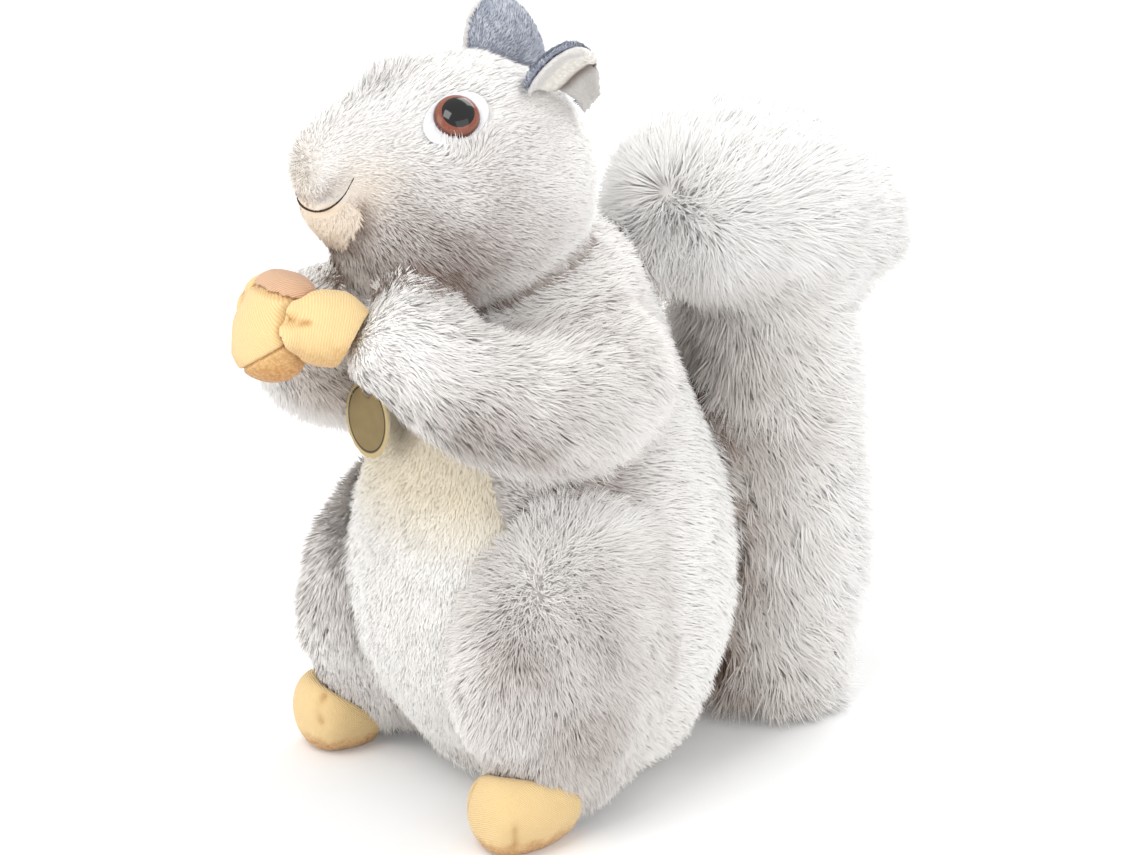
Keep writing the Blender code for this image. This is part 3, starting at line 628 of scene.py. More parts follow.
def armTone(points):
    spot = mirrored(points)
    # painted shade, darker and browner, on the inner side of each sleeve below the paws
    inner = ramp(spot[:, 0], 26, 14) * ramp(spot[:, 2], 158, 142)
    return patched(spot, 0.26, armDark) + 0.85 * inner, 0.15 + 0.7 * inner


def armTrim(points):
    under = eased(150 - points[:, 2], 0, 12)
    paw = farFrom(points, (14, -100, 175))
    return (1 + 0.25 * under) * (1 - 0.4 * eased(paw, 36, 20)), 1.6 - 0.6 * eased(paw, 20, 42)


# darker low on the thigh: partly the coat's brown-grey, partly painted shade
legDark = [(0.56, (58, -46, 58), (26, 28, 36)), (0.20, (60, -34, 26), (20, 26, 18)),
           (-0.22, (42, -68, 42), (8, 10, 16)), (-0.30, legTop, (10, 10, 10)),
           (0.30, (34, -60, 26), (14, 12, 8))]


def legFlow(points):
    flow = around(wandering(points, 14, 51, 9), legTop)
    flow[:, 2] -= 0.25
    return flow


def legTone(points):
    dark = patched(mirrored(points), 0.20, legDark)
    # painted light along the top of the thigh, where the lamp falls
    return dark - 0.30 * ramp(points[:, 2], 92, 102), 0.18


def legTrim(points):
    x, y, z = points.T
    over = eased(44 - z, 0, 12) * eased(-48 - y, -4, 6) * (1 - 0.8 * eased(np.abs(x), 54, 60))
    return 1 - 0.5 * over, 0.4 + 0.6 * eased(farFrom(points, legTop), 0, 34)


def tailFlow(points):
    flow = around(wandering(points, 18, 54, 10), tailCurl, 26)
    return flow + ramp(points[:, 2], 166, 126)[:, None] * (0, 0.55, -0.25)


def tailTone(points):
    # darker and browner low down near the back: partly the coat's pinkish brown-grey, partly
    # painted shade where the tail meets the body
    near = ramp(points[:, 1], 84, 48)
    low = ramp(points[:, 2], 166, 132)
    patches = drift(points * mm, 17, 61) * 0.45 + drift(points * mm, 7, 62) * 0.35
    dark = 0.02 + low * (0.04 + near ** 1.2 * (1.0 + 1.3 * patches))
    return dark, 0.10 + 0.45 * low * near


def tailTrim(points):
    away = farFrom(points, tailCurl)
    return 1 - 0.25 * eased(away, 24, 0), 0.66 + 0.34 * eased(away, 0, 40)


coatRules = {"torso": (torsoFlow, torsoTone, plainTrim), "belly": (bellyFlow, bellyTone, plainTrim),
             "head": (headFlow, headTone, headTrim), "chin": (chinFlow, chinTone, chinTrim),
             "arm": (armFlow, armTone, armTrim), "leg": (legFlow, legTone, legTrim),
             "tail": (tailFlow, tailTone, tailTrim)}


# Plush pieces


def rootsOn(points, faces, count, weight=1.0):
    # evenly scattered places, each as a triangle and three shares of its corners
    ladder = np.cumsum(np.linalg.norm(facingsOf(points, faces), axis=1) * weight)
    picks = (np.arange(count) + dice.random(count)) / count * ladder[-1]
    chosen = np.minimum(np.searchsorted(ladder, picks), len(faces) - 1)
    first = np.sqrt(dice.random(count))
    second = dice.random(count)
    return faces[chosen], columns(1 - first, first * (1 - second), first * second)


def lerped(values, triangles, shares):
    return np.einsum("ij,ij...->i...", shares, values[triangles])


def chance(count):
    return dice.random(count) - 0.5


# how far a strand's way strays, in radians, by noise of a size and by chance
strayLook = {"broad": (9, 0.40), "fine": (2.6, 0.45), "chance": 0.7, "whorl": 5}


def strandMesh(roots, normals, flow, length, look, dark, warm, ease=1.0):
    # ribbons of two faces, bent from nearly upright at the root to lying along the flow
    count = len(roots)
    tangent = unit(flow - normals * np.einsum("ij,ij->i", flow, normals)[:, None])
    side = np.cross(normals, tangent)
    (broad, most), (fine, some) = strayLook["broad"], strayLook["fine"]
    swing = drift(roots, broad, 3) * most + drift(roots, fine, 4) * some
    swing = (swing + chance(count) * strayLook["chance"]) * look.get("swing", 1.0)
    swing = swing + np.maximum(1 - ease, 0) * chance(count) * strayLook["whorl"]
    tangent = tangent * np.cos(swing)[:, None] + side * np.sin(swing)[:, None]
    rise = drift(roots, 5, 8) * 0.2 + chance(count) * 0.3
    way, own = tuftsOf(roots, look["tuft"] * mm, 11)
    length = length * (0.78 + 0.22 * own + 0.25 * chance(count))
    place = roots - normals * 0.4 * mm
    rows = [place]
    for reach in (0.5, 1.0):
        turn = look["lie"][0] + (look["lie"][1] - look["lie"][0]) * (reach - 0.25)
        lean = turn * (0.2 + 0.8 * ease) + rise
        heading = normals * np.cos(lean)[:, None] + tangent * np.sin(lean)[:, None]
        place = place + heading * (length / 2)[:, None]
        rows.append(place + way * (reach ** 1.3 * look["pull"]))
    points = np.stack(rows, axis=1)
    points[:, :, 2] = np.maximum(points[:, :, 2], 0.4 * mm)
    headings = unit(np.diff(points, axis=1))
    roll = (chance(count) * 1.5)[:, None, None]
    outward = unit(np.cross(headings, np.cross(normals[:, None, :], headings)))
    across = np.cross(outward, headings)
    across = across * np.cos(roll) + outward * np.sin(roll)
    facing = np.cross(headings, across)
    half = look["width"] * mm * 0.5 * (0.75 + 0.5 * dice.random(count))
    spread = half[:, None] * across[:, 1]
    tilt = across[:, 1] * 0.35
    soft = look["soft"] * normals
    verts = np.stack([points[:, 0], points[:, 1] - spread, points[:, 1] + spread, points[:, 2]],
                     axis=1)
    bent = unit(np.stack([facing[:, 0] + soft, facing[:, 1] - tilt + soft,
                          facing[:, 1] + tilt + soft, facing[:, 1] + soft], axis=1))
    faces = np.array([[0, 1, 2], [1, 3, 2]]) + (np.arange(count) * 4)[:, None, None]
    along = np.array([0, 0.5, 0.5, 1.0])
    own = 0.5 * own + 0.5 * dice.random(count)
    rest = columns(own, dark, warm).T[..., None]
    facts = np.stack(np.broadcast_arrays(along, *rest), axis=2)
    return (verts.reshape(-1, 3), faces.reshape(-1, 3), bent.reshape(-1, 3), facts.reshape(-1, 4),
            cellMap(count, np.array([0.5, 0.1, 0.9, 0.5]), along))


def cellMap(count, across, along):
    # each strand gets a small upright cell of its own on the map, above the skin's strip
    wide = int(math.ceil(math.sqrt(count * 3.5)))
    rows = int(math.ceil(count / wide))
    number = np.arange(count)[:, None]
    u = (number % wide + across) / wide
    v = (number // wide + 0.06 + 0.88 * along) / rows
    return np.stack([u, 0.1 + 0.9 * v], axis=2).reshape(-1, 2)


def writeAttribute(mesh, name, values):
    made = mesh.attributes.new(name, "FLOAT_VECTOR", "POINT")
    made.data.foreach_set("vector", np.asarray(values, np.float32).ravel())


def addPiece(name, node, mesh, paint):
    piece = linked(name, mesh)
    mesh.materials.append(paint.owner)
    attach(piece, "root")
    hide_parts(node)
    print("piece:", name, len(mesh.polygons), "faces")


def coatedPiece(name, node, skin, strands, paint):
    # one mesh of the skin under a coat and of the coat's strands
    points, faces, *rest = skin
    allPoints, normals, facts, cells = (
        np.concatenate([under, over]) for under, over in
        zip((points, *rest), (strands[0], *strands[2:])))
    allFaces = np.concatenate([faces, strands[1] + len(points)])
    mesh = meshFrom(name, allPoints, allFaces)
    writeAttribute(mesh, "strand", facts[:, :3])
    writeAttribute(mesh, "coat", facts[:, [3, 3, 3]])
    layer = mesh.uv_layers.new(name="OFBake")
    layer.uv.foreach_set("vector", np.asarray(cells[allFaces.ravel()], np.float32).ravel())
    mesh.normals_split_custom_set_from_vertices(normals.tolist())
    addPiece(name, node, mesh, paint)


def clearOfEyes(roots):
    # no strands on the felt ovals, apart from a few over their lower edge
    free = np.ones(len(roots), bool)
    for middle, long, short, facing in feltFrames.values():
        gap = roots - middle
        oval = (gap @ long / (11.3 * mm)) ** 2 + (gap @ short / (8.1 * mm)) ** 2
        low = eased(gap @ upwardOn(facing) / mm, -2, -7)
        free &= (oval >= 0.9 - 0.42 * low) | (np.abs(gap @ facing) >= 9 * mm)
    return free


def plushPiece(name, node, look, paint):
    flowOf, toneOf, trimOf = coatRules[node.split("_")[0]]
    mine = (skinLabel[skinFaces] == coatNames.index(node)).sum(axis=1) >= 2
    faces = skinFaces[mine]
    if "span" in look:
        high = skinPoints[faces].mean(axis=1)[:, 2] * 1000
        faces = faces[(high >= look["span"][0]) & (high < look["span"][1])]
    # fewer strands under the seat, where nothing shows them
    under = skinPoints[faces].mean(axis=1)[:, 2] * 1000 < 12
    under &= skinNormals[faces].mean(axis=1)[:, 2] < -0.6
    spots = rootsOn(skinPoints, faces, look["count"], np.where(under, 0.4, 1.0))
    roots = lerped(skinPoints, *spots)
    normals = unit(lerped(skinNormals, *spots))
    pile = lerped(skinPile, *spots) / (look["pile"] * mm)
    seam = lerped(skinSeam, *spots)
    pile, trim, ease = columns(pile, *trimOf(roots * 1000)).T
    length = look["length"] * mm * pile * trim
    free = clearOfEyes(roots) & (trim > 0.05)
    roots, normals, length, ease, seam = (item[free] for item in
                                          (roots, normals, length, ease, seam))
    dark, warm = toneOf(roots * 1000)
    dark = dark * (0.85 + 0.3 * drift(roots, 14, 21)) + 0.07 * drift(roots, 6, 22)
    # darker along the seams: painted shade in the creases between pieces
    dark = np.clip(dark + look.get("seam", 0.15) * seam, 0, 1)
    strands = strandMesh(roots, normals, flowOf(roots * 1000), length, look, dark, warm, ease)
    used, where = np.unique(faces, return_inverse=True)
    bare = skinPoints[used]
    dark, warm = toneOf(bare * 1000)
    turn = np.arctan2(bare[:, 1] - bare[:, 1].mean(), bare[:, 0] - bare[:, 0].mean())
    high = (bare[:, 2] - bare[:, 2].min()) / np.ptp(bare[:, 2])
    skin = (bare, where.reshape(-1, 3), skinNormals[used],
            columns(0.1, 0.5, np.clip(dark, 0, 1), warm),
            columns(0.5 + turn / (2 * math.pi), 0.09 * high))
    coatedPiece(name, node, skin, strands, paint)


plushLook = {
    "rootPale": (0.87, 0.855, 0.84), "rootDark": (0.25, 0.18, 0.15),
    "tipPale": (0.975, 0.972, 0.965), "tipDark": (0.45, 0.38, 0.35),
    "cream": (1.0, 0.93, 0.83), "rootEnd": 0.55,
}


def plushPaint(name, slot, look):
    paint = Paint(name, slot, Specular_IOR_Level=0.2)
    along, own, dark = paint.read("strand")
    warm = paint.read("coat")[0]
    root = paint.mixed(dark, look["rootPale"], look["rootDark"])
    tip = paint.mixed(dark * (0.55 + own * 0.45), look["tipPale"], look["tipDark"])
    patch = paint.noise(paint.place(), 260, 2.0, 0.6)
    reach = along + (own - 0.5) * 0.34 + (patch - 0.5) * 0.3 - dark * 0.55
    coat = paint.mixed(paint.eased(reach, 0.0, look["rootEnd"]), root, tip)
    shade = paint.mixed(warm, (1, 1, 1), look["cream"])
    return paint.finished(paint.mixed(1.0, coat, shade, "MULTIPLY"), 0.68 + own * 0.2)


frosted = plushPaint("frostedPlush", "frosted_plush", plushLook)
creamy = plushPaint("creamPlush", "cream_plush", {
    **plushLook, "rootPale": (0.97, 0.955, 0.91), "tipPale": (0.985, 0.98, 0.97),
    "rootDark": (0.42, 0.30, 0.20), "cream": (1.0, 0.925, 0.77)})
peachy = plushPaint("peachPlush", "cream_plush", {
    **plushLook, "rootPale": (0.88, 0.77, 0.66), "tipPale": (0.96, 0.90, 0.83),
    "cream": (1.0, 0.955, 0.88)})
plushPiece("torso_plush", "torso", coatLook["torso"], frosted)
plushPiece("belly_plush", "belly_panel", coatLook["belly_panel"], creamy)
plushPiece("head_plush", "head", coatLook["head"], frosted)
plushPiece("chin_plush", "chin_panel", coatLook["chin_panel"], peachy)
for side in sides:
    plushPiece("arm_plush_" + side, "arm_" + side, armLook, frosted)
    plushPiece("leg_plush_" + side, "leg_" + side, legLook, frosted)
for half, look in tailHalves.items():
    plushPiece("tail_plush_" + half, "tail", {**coatLook["tail"], **look}, frosted)


# Velour, felt, card and moulded pieces: each node's form made anew in fine even faces


def fineForm(name, voxel, rounds):
    points, faces = arraysOf(nodes[name].data)
    points, faces = remeshed(points, faces, voxel)
    return relaxed(points, edgesOf(faces), rounds), faces


def creased(points, faces, paths, width, depth):
    # stitched lines pulled into the form, and how deep each vertex sits in one
    crease = np.zeros(len(points))
    for path in paths:
        crease = np.maximum(crease, np.exp(-(awayFrom(points * 1000, path) / width) ** 2))
    return pushed(points, faces, -crease * depth), crease


def contactShade(points, names, reach):
    # how close each point is to the pieces it is pressed against
    shade = np.zeros(len(points))
    for name in names:
        away = gapTo(name, points, reach * 3 * mm) / (reach * mm)
        shade = np.maximum(shade, np.exp(-away ** 2) * (away < 3))
    return shade


def onSide(path, out):
    # places given for the left, on either side
    return np.array(path) * (out, 1, 1)


def finePiece(name, node, points, faces, paint, facts=(0, 0, 0)):
    mesh = meshFrom(name, points, faces)
    writeAttribute(mesh, "weave", columns(np.zeros(len(points)), *facts)[:, 1:])
    addPiece(name, node, mesh, paint)


def velourPaint(name, slot, look):
    # weave holds the ribs, counted across them, the crease, painted as shade, and the terry loops
    # of the soles together with painted shade low on the paws and nut
    paint = Paint(name, slot, Specular_IOR_Level=0.15, Sheen_Weight=0.25, Sheen_Roughness=0.5)
    rib, crease, loops = paint.read("weave")
    spot = paint.place()
    wave = paint.wave(rib + paint.noise(spot, 320) * 0.5)
    fuzz = paint.noise(spot, 2600, 3.0, 0.7)
    broad = paint.noise(spot, 90)
    knots = paint.knots(spot, 900)
    # the deep colour is a shaded copy of the velour: painted shade in the stitched creases, where
    # pieces press together, low on the paws and nut and in the rib valleys; on the soles it is also
    # the terry's own darker colour
    deep = paint.mixed(crease * 0.9, look["main"], look["deep"])
    deep = paint.mixed(loops * (0.45 + knots * 0.55), deep, look["deep"])
    ribbed = paint.mixed((1 - wave) * look["ribShade"], deep, look["deep"])
    shade = paint.mixed(fuzz * 0.6 + broad * 0.4, (0.86, 0.86, 0.86), (1.1, 1.1, 1.1))
    height = wave * (1 - loops * 0.7) + fuzz * 0.5 + knots * loops * 1.5
    return paint.finished(paint.mixed(1.0, ribbed, shade, "MULTIPLY"), 0.8 + fuzz * 0.18,
                          height, 0.6, 0.00035)


# deep is each velour's painted shade colour, and also the soles' darker terry; ribShade is the
# painted shade in the rib valleys
yellowVelour = velourPaint("yellowVelour", "yellow_velour", {
    "main": (0.95, 0.71, 0.36), "deep": (0.52, 0.25, 0.08), "ribShade": 0.24})
tanVelour = velourPaint("tanVelour", "tan_velour", {
    "main": (0.83, 0.54, 0.35), "deep": (0.46, 0.22, 0.12), "ribShade": 0.5})

handLook = {"voxel": 0.7, "smooth": 9, "swell": 0.25, "rib": 0.66, "fill": 0.8,
            "wrist": (19, -84, 171), "waist": 0.46, "bulge": ((11.5, -111, 174), (5, 5, 4.5)),
            "bulgeHeight": 1.4, "stitch": (2.1, 2.7), "fineStitch": (1.0, 1.0), "touch": 0.8,
            "thumb": [(5, -111.5, 180.4), (9.5, -111.5, 179.8), (12.9, -109.8, 179.4)],
            "thumbEnd": [(14.9, -107.9, 178.8), (16.6, -106, 178.9)]}


def handPiece(side, out, look):
    points, faces = fineForm("hand_" + side, look["voxel"], look["smooth"])
    points = pushed(points, faces, look["swell"])
    wrist = onSide(look["wrist"], out) * mm
    along = unit(wrist - points.mean(axis=0))
    behind = (points - wrist) @ along
    core = wrist + behind[:, None] * along
    waist = 1 - look["waist"] * eased(behind / mm, -11, 1)
    points = core + (points - core) * waist[:, None]
    points, crease = creased(points, faces, [onSide(look["thumb"], out)], *look["stitch"])
    bulge = blob(mirrored(points * 1000), *look["bulge"])
    points = pushed(points, faces, bulge * look["bulgeHeight"])
    thumb = onSide(look["thumb"] + look["thumbEnd"], out)
    points, fine = creased(points, faces, [thumb], *look["fineStitch"])
    crease = np.maximum(crease * 0.55, fine * 0.8)
    reach = np.linalg.norm(points - wrist, axis=1) / mm
    # painted shade low on the paw, and in the creases where it presses on the nut and cap
    soleAndShade = eased(176 - points[:, 2] * 1000 + drift(points, 2.5, 74) * 2, 0, 12) * 0.8
    touching = contactShade(points, ["acorn_nut", "acorn_cap"], look["touch"])
    crease = np.maximum(crease, 0.8 * touching)
    finePiece("hand_velour_" + side, "hand_" + side, points, faces, yellowVelour,
              (reach / look["rib"], crease, soleAndShade))


footLook = {"voxel": 0.85, "smooth": 26, "swell": 1.3, "rib": 0.68, "fill": 0.8,
            "middle": 51, "stretch": (0.87, 1, 1.22), "soleTop": 8.5, "stitch": (1.1, 0.9),
            "toes": [[(50.4, -56.6, 20.2), (53.6, -58.4, 17.3), (55.7, -59.7, 12.4),
                      (54.7, -58.8, 5.8)],
                     [(43.6, -62.4, 18.5), (45.8, -60.8, 20)],
                     [(38.2, -61.8, 22), (39.5, -62.8, 17.1), (37.4, -63.6, 13.4)]]}


def footPiece(side, out, look):
    points, faces = fineForm("foot_" + side, look["voxel"], look["smooth"])
    middle = np.array([out * look["middle"], 0, 0]) * mm
    points = (points - middle) * np.array(look["stretch"]) + middle
    points = pushed(points, faces, look["swell"])
    paths = [onSide(toe, out) for toe in look["toes"]]
    points, crease = creased(points, faces, paths, *look["stitch"])
    x, y, z = (points * 1000).T
    points[:, 2] = np.maximum(points[:, 2], 0.2 * mm)
    ragged = drift(points, 3, 71) * 1.6 + drift(points, 1.2, 72) * 0.9
    soleAndShade = eased(look["soleTop"] - z + ragged, 0, 5.5)
    points = pushed(points, faces, soleAndShade * drift(points, 1.3, 73) * 0.25)
    ribs = (z + 0.8 * y + 0.35 * np.abs(out * x - 53)) / look["rib"]
    finePiece("foot_velour_" + side, "foot_" + side, points, faces, yellowVelour,
              (ribs, crease * 0.7, soleAndShade))


# the nut's seam is a plane: its facing, and how far it is from the origin
acornLook = {"nutVoxel": 0.75, "capVoxel": 0.6, "seamFacing": (0.571, 0.147, -0.8075),
             "seamAway": 147.9, "seamWidth": 0.42, "seamDepth": 1.1, "pressReach": 1.6,
             "pressDepth": 0.7, "touch": 0.9, "rib": 0.6, "fill": 0.9}


def acornPieces(look):
    near = ["acorn_cap", "hand_left", "hand_right"]
    points, faces = fineForm("acorn_nut", look["nutVoxel"], 3)
    seam = points * 1000 @ np.array(look["seamFacing"]) + look["seamAway"]
    groove = np.exp(-(seam / look["seamWidth"]) ** 2)
    pressed = contactShade(points, near, look["pressReach"]) * look["pressDepth"]
    points = pushed(points, faces, -(groove * look["seamDepth"] + pressed))
    # painted shade on the lower panel below the seam and towards the bottom, and in the creases
    # where the cap and paws press
    soleAndShade = np.clip(seam, 0, 1) * 0.75 + 0.5 * eased(points[:, 2] * 1000, 170, 158)
    groove = np.maximum(groove, 0.9 * contactShade(points, near, look["touch"]))
    ribs = points * 1000 @ np.array([0.6, 0.2, 0.6]) / look["rib"]
    finePiece("acorn_nut_velour", "acorn_nut", points, faces, yellowVelour,
              (ribs, groove, soleAndShade))
    points, faces = fineForm("acorn_cap", look["capVoxel"], 10)
    points = pushed(points, faces, 0.3)
    ribs = points * 1000 @ np.array([-0.75, 0.1, 0.6]) / look["rib"]
    finePiece("acorn_cap_velour", "acorn_cap", points, faces, tanVelour, (ribs, 0, 0))


for side, out in sides.items():
    handPiece(side, out, handLook)
for side, out in sides.items():
    footPiece(side, out, footLook)
acornPieces(acornLook)


# Eyes: a lathed dome on a felt oval, and the washer on its stem


def lathed(profile, count, frameOf, oval=(1, 1)):
    # rings of a profile (radius, height) about a facing, with both ends closed by a point
    middle, long, short, facing = frameOf
    turns = np.arange(count)[:, None] * 2 * math.pi / count
    rings = []
    for radius, height in profile[1:-1]:
        ring = (np.cos(turns) * long * radius * oval[0] + np.sin(turns) * short * radius * oval[1])
        rings.append(middle + ring + facing * height)
    ends = [[middle + facing * profile[end][1]] for end in (0, -1)]
    points = np.concatenate([ends[0], *rings, ends[1]])
    faces = []
    last = len(points) - 1
    for k in range(count):
        after = (k + 1) % count
        faces.append((0, 1 + k, 1 + after))
        for low in range(1, last - count, count):
            a, b = low + k, low + after
            faces += [(a, a + count, b + count), (a, b + count, b)]
        faces.append((last, last - count + after, last - count + k))
    faces = np.array(faces)
    corners = points[faces]
    volume = np.einsum("ij,ij->i", corners[:, 0], np.cross(corners[:, 1], corners[:, 2])).sum()
    return points, faces if volume > 0 else faces[:, ::-1]


# felt is half the oval's length and width; feltEdge its section, in shares of that and of thick
eyeLook = {"radius": 7.0, "dome": 4.2, "felt": (11, 7.8), "thick": 1.2, "washerVoxel": 0.8,
           "feltEdge": [(0, -0.5), (0.5, -0.5), (0.97, -0.5), (1.0, -0.25), (1.0, 0.1),
                        (0.985, 0.35), (0.95, 0.5), (0.85, 0.52), (0.7, 0.52), (0.5, 0.52),
                        (0.25, 0.52), (0, 0.52)]}


def eyePaint():
    # weave holds the share of the radius and the turn
    paint = Paint("eyePlastic", "eye_plastic", Coat_Weight=0.25, Coat_Roughness=0.03,
                  Specular_IOR_Level=0.35)
    share, turn, _ = paint.read("weave")
    spot = paint.place()
    rays = paint.noise(paint.node("ShaderNodeCombineXYZ", {}, {0: turn * 9, 1: share * 3}),
                       3.0, 3.0, noise_dimensions="2D")
    iris = paint.mixed(rays, (0.13, 0.03, 0.016), (0.33, 0.10, 0.055))
    iris = paint.mixed(paint.eased(share, 0.90, 0.98), iris, (0.11, 0.03, 0.02))
    inner = paint.eased(share + (paint.noise(spot, 900) - 0.5) * 0.02, 0.69, 0.72)
    return paint.finished(paint.mixed(inner, (0.004, 0.004, 0.005), iris),
                          0.05 + paint.noise(spot, 1500, 3.0) * 0.05)


def feltPaint():
    paint = Paint("whiteFelt", "white_felt", Specular_IOR_Level=0.1, Sheen_Weight=0.3)
    spot = paint.place()
    fibre = paint.noise(spot, 1400, 6.0, 0.75)
    broad = paint.noise(spot, 160)
    cloud = fibre * 0.6 + broad * 0.4
    return paint.finished(paint.mixed(cloud, (0.74, 0.75, 0.79), (0.89, 0.89, 0.91)),
                          0.85 + fibre * 0.14, fibre, 0.7, 0.0004)


def nylonPaint():
    paint = Paint("whiteNylon", "white_nylon", Specular_IOR_Level=0.5)
    cloud = paint.noise(paint.place(), 500, 3.0)
    return paint.finished(paint.mixed(cloud, (0.78, 0.78, 0.76), (0.9, 0.9, 0.89)),
                          0.3 + cloud * 0.2, cloud, 0.2, 0.0002)


whiteNylon = nylonPaint()
eyePlastic = eyePaint()
whiteFelt = feltPaint()


def eyePieces(side, look):
    middle, long, short, facing = feltFrames[side]
    points, _ = arraysOf(nodes["eye_" + side].data)
    ahead = (points - middle) @ facing
    front = ahead.max()
    centre = points[np.argmax(ahead)] - facing * front
    radius = look["radius"] * mm
    dome = look["dome"] * mm
    base = front - dome
    profile = [(0, base - 0.2 * mm), (radius * 0.999, base - 0.2 * mm)]
    for step in range(16):
        angle = step / 16 * math.pi / 2
        profile.append((radius * math.cos(angle) ** 0.9 + 1e-6, base + dome * math.sin(angle)))
    profile.append((0, front))
    points, faces = lathed(profile, 64, (centre, long, short, facing))
    gap = points - centre
    share = np.hypot(gap @ long, gap @ short) / radius
    turn = np.arctan2(gap @ short, gap @ long)
    finePiece("eye_dome_" + side, "eye_" + side, points, faces, eyePlastic, (share, turn, 0))
    profile = [(share, height * look["thick"] * mm) for share, height in look["feltEdge"]]
    points, faces = lathed(profile, 72, feltFrames[side], [half * mm for half in look["felt"]])
    points = points + facing * (drift(points, 2.5, 31) * 0.15 * mm)[:, None]
    finePiece("eye_felt_oval_" + side, "eye_felt_" + side, points, faces, whiteFelt)
    points, faces = fineForm("eye_washer_" + side, look["washerVoxel"], 0)
    finePiece("washer_" + side, "eye_washer_" + side, points, faces, whiteNylon)


for side in sides:
    eyePieces(side, eyeLook)


# Hang tag on its ring, and the mouth thread

tagLook = {"cardVoxel": 0.42, "ringVoxel": 0.32}
mouthLook = {"voxel": 0.38, "inset": (0.35, 0.2), "ply": 1.3}


def cardPaint():
    # weave holds the share of the way to the edge and, last, the cut edge itself
    paint = Paint("goldCard", "gold_card", Metallic=0.25)
    share, _, edge = paint.read("weave")
    spot = paint.place()
    grain = paint.noise(spot, 1800, 4.0, 0.7)
    broad = paint.noise(spot, 140)
    # the card's own gold-olive, darkened further as painted shade for the shade it hangs in
    gold = paint.mixed(broad * 0.7 + grain * 0.3, (0.15, 0.105, 0.04), (0.31, 0.225, 0.09))
    gold = paint.mixed(paint.eased(share, 0.86, 0.89), gold, (0.52, 0.40, 0.20))
    line = paint.eased(share, 0.80, 0.815) * (1 - paint.eased(share, 0.845, 0.86))
    gold = paint.mixed(line, gold, (0.05, 0.035, 0.015))
    return paint.finished(paint.mixed(edge, gold, (0.62, 0.55, 0.42)), 0.38 + grain * 0.3,
                          grain, 0.25, 0.0002)


def threadPaint():
    paint = Paint("darkThread", "dark_thread", Specular_IOR_Level=0.2)
    wave = paint.wave(paint.read("weave")[0])
    return paint.finished(paint.mixed(wave, (0.02, 0.013, 0.011), (0.075, 0.05, 0.04)),
                          0.65 + wave * 0.25, wave, 0.8, 0.0003)


def tagPieces(look):
    points, faces = fineForm("neck_tag", look["cardVoxel"], 1)
    gap = points - points.mean(axis=0)
    _, _, axes = np.linalg.svd(gap, full_matrices=False)
    high, wide = ((line - (line.max() + line.min()) / 2) / (np.ptp(line) / 2)
                  for line in (gap @ axes[0], gap @ axes[1]))
    flat = np.abs(normalsOf(points, faces) @ axes[2])
    edge = ramp(flat, 0.7, 0.3)
    finePiece("tag_card", "neck_tag", points, faces, cardPaint(), (np.hypot(high, wide), 0, edge))
    points, faces = fineForm("tag_fastener", look["ringVoxel"], 1)
    finePiece("tag_ring", "tag_fastener", points, faces, whiteNylon)


def mouthPiece(look):
    points, faces = fineForm("mouth_stitch", look["voxel"], 1)
    upper = eased(points[:, 2] * 1000, 206, 214)
    points = pushed(points, faces, -(look["inset"][0] + look["inset"][1] * upper))
    gap = points - points.mean(axis=0)
    _, _, axes = np.linalg.svd(gap, full_matrices=False)
    ply = (gap @ axes[0] * 1000) / look["ply"] + (gap @ axes[2] * 1000) * 0.8
    finePiece("mouth_thread", "mouth_stitch", points, faces, threadPaint(), (ply, 0, 0))


tagPieces(tagLook)
mouthPiece(mouthLook)


# Ears: slate fuzz behind, velboa inside with a rolled curly rim

earLook = {"backVoxel": 0.9, "liningVoxel": 0.75, "smooth": 3, "root": (20, -14, 222),
           "stitch": (1.5, 1.2), "rimSwell": 0.9, "lobe": (2.2, -0.8, -4.5),
           "fold": [(14, -20.5, 222), (16, -15.5, 227), (18, -10.6, 231.9),
                    (21.6, -9.3, 236.2), (26.7, -8.8, 240.2), (30, -6, 241)],
           "rimHeights": [222, 232, 240, 242], "rimPlaces": [-20.5, -10.6, -8.8, -6]}
fuzzLook = {"count": 7000, "length": 2.2, "width": 0.28, "lie": (0.5, 1.2), "tuft": 1.5,
            "pull": 0.2, "soft": 1.2}


def earPaint():
    # weave holds the rolled rim and the crease, painted as a brown shade in the fold
    paint = Paint("earVelboa", "pale_velboa", Specular_IOR_Level=0.12, Sheen_Weight=0.3)
    rim, crease, _ = paint.read("weave")
    spot = paint.place()
    nap = paint.noise(paint.node("ShaderNodeMapping", {}, {0: spot, 3: (1.0, 1.0, 2.4)}),
                      900, 3.0, 0.7)
    curls = paint.knots(spot, 700)
    inside = paint.mixed(nap, (0.50, 0.475, 0.455), (0.78, 0.76, 0.74))
    rolled = paint.mixed(curls, (0.96, 0.94, 0.90), (0.74, 0.69, 0.61))
    colour = paint.mixed(paint.eased(rim, 0.3, 0.7), inside, rolled)
    # painted shade in the fold behind the rolled rim
    return paint.finished(paint.mixed(crease * 0.95, colour, (0.12, 0.07, 0.045)),
                          0.82 + nap * 0.15, nap * 0.6 + curls * rim * 1.5, 0.7, 0.0006)


def slatePaint():
    paint = Paint("slatePlush", "slate_plush", Specular_IOR_Level=0.15)
    along, own, _ = paint.read("strand")
    patch = paint.noise(paint.place(), 420, 3.0, 0.6)
    root = paint.mixed(patch, (0.22, 0.235, 0.31), (0.38, 0.40, 0.47))
    tip = paint.mixed(own, (0.42, 0.46, 0.55), (0.74, 0.77, 0.82))
    reach = paint.eased(along + (own - 0.5) * 0.3, 0.1, 0.95)
    return paint.finished(paint.mixed(reach, root, tip), 0.75 + own * 0.2)


earVelboa = earPaint()
slatePlush = slatePaint()


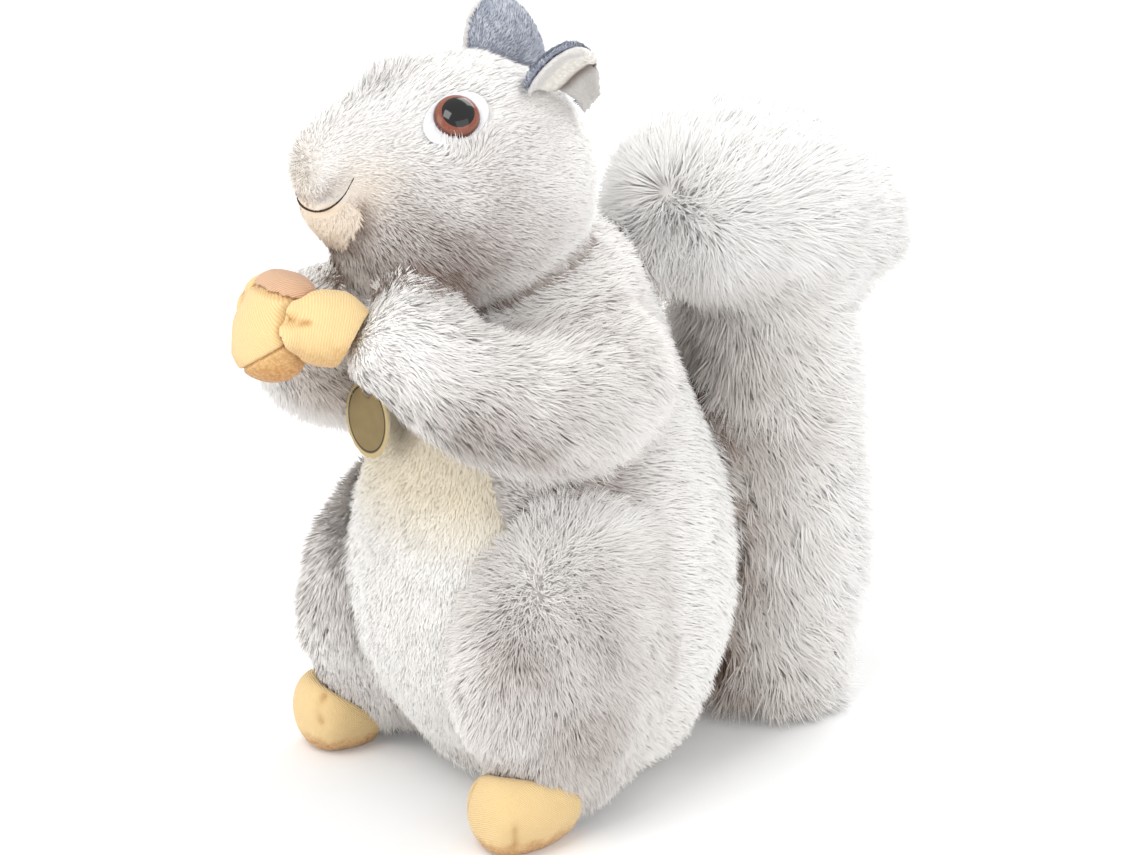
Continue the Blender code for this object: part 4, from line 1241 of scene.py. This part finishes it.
def lobeDown(points, out, shift):
    # the outer lower lobe drawn down over the head, where the coat hid it
    x, _, z = mirrored(points * 1000).T
    share = eased(240 - z, 0, 9) * eased(x, 21, 30)
    return points + onSide(shift, out) * share[:, None] * mm


def fuzzed(name, node, points, faces, root, look, paint):
    normals = normalsOf(points, faces)
    spots = rootsOn(points, faces, look["count"])
    roots = lerped(points, *spots)
    strands = strandMesh(roots, unit(lerped(normals, *spots)), unit(roots * 1000 - root),
                         look["length"] * mm, look, 0, 0)
    _, across, high = ((points - points.min(axis=0)) / np.ptp(points, axis=0)).T
    skin = (points, faces, normals, columns(0.15, 0.5, 0, np.zeros(len(points))),
            columns(across, 0.09 * high))
    coatedPiece(name, node, skin, strands, paint)


def earPieces(side, out, look):
    points, faces = fineForm("ear_back_" + side, look["backVoxel"], look["smooth"])
    fuzzed("ear_fuzz_" + side, "ear_back_" + side, lobeDown(points, out, look["lobe"]), faces,
           onSide(look["root"], out), fuzzLook, slatePlush)
    points, faces = fineForm("ear_lining_" + side, look["liningVoxel"], look["smooth"])
    points = lobeDown(points, out, look["lobe"])
    spot = points * 1000
    fold = onSide(look["fold"], out)
    away = awayFrom(spot, fold)
    points, crease = creased(points, faces, [fold], *look["stitch"])
    ahead = spot[:, 1] - np.interp(spot[:, 2], look["rimHeights"], look["rimPlaces"])
    rim = np.clip(0.5 - ahead / 2.0, 0, 1) * np.clip(1.4 - away / 9, 0, 1)
    points = pushed(points, faces, np.clip(rim * 2, 0, 1) * look["rimSwell"])
    finePiece("ear_velboa_" + side, "ear_lining_" + side, points, faces, earVelboa,
              (rim, crease, 0))


for side, out in sides.items():
    earPieces(side, out, earLook)


# Floor and world

studioLook = {"floorHalf": 12, "floor": (0.86, 0.86, 0.86), "glow": ((0.10,) * 3, (0.6,) * 3),
              "glowFrom": 0.35, "glowTo": 2.2, "worldLight": 0.80}


def addFloor(look):
    # its own faint glow rises with distance, for the rays that see the background
    half = look["floorHalf"]
    corners = np.array([(-half, -half, 0), (half, -half, 0), (half, half, 0), (-half, half, 0)])
    mesh = meshFrom("studioFloor", corners, np.array([[0, 1, 2, 3]]))
    paint = Paint("floorPaper", Roughness=0.9, Specular_IOR_Level=0.1, Emission_Strength=1.0)
    paint.give("Base Color", look["floor"])
    far = paint.node("ShaderNodeVectorMath", {"operation": "LENGTH"}, {0: paint.place()}, "Value")
    glow = paint.mixed(paint.eased(far, look["glowFrom"], look["glowTo"]), *look["glow"])
    paint.give("Emission Color", paint.mixed(paint.seen(), (0, 0, 0), glow))
    mesh.materials.append(paint.owner)
    linked("studioFloor", mesh)


def lightWorld(look):
    world = bpy.data.worlds.new("studioWorld")
    bpy.context.scene.world = world
    light = Paint(world, shader="Background", Color=(1, 1, 1))
    light.give("Strength", light.node("ShaderNodeMapRange", {}, {
        0: light.seen(), 3: look["worldLight"], 4: 1.0}))


addFloor(studioLook)
lightWorld(studioLook)
bpy.context.scene.view_settings.view_transform = "Standard"
print("floor and world made")
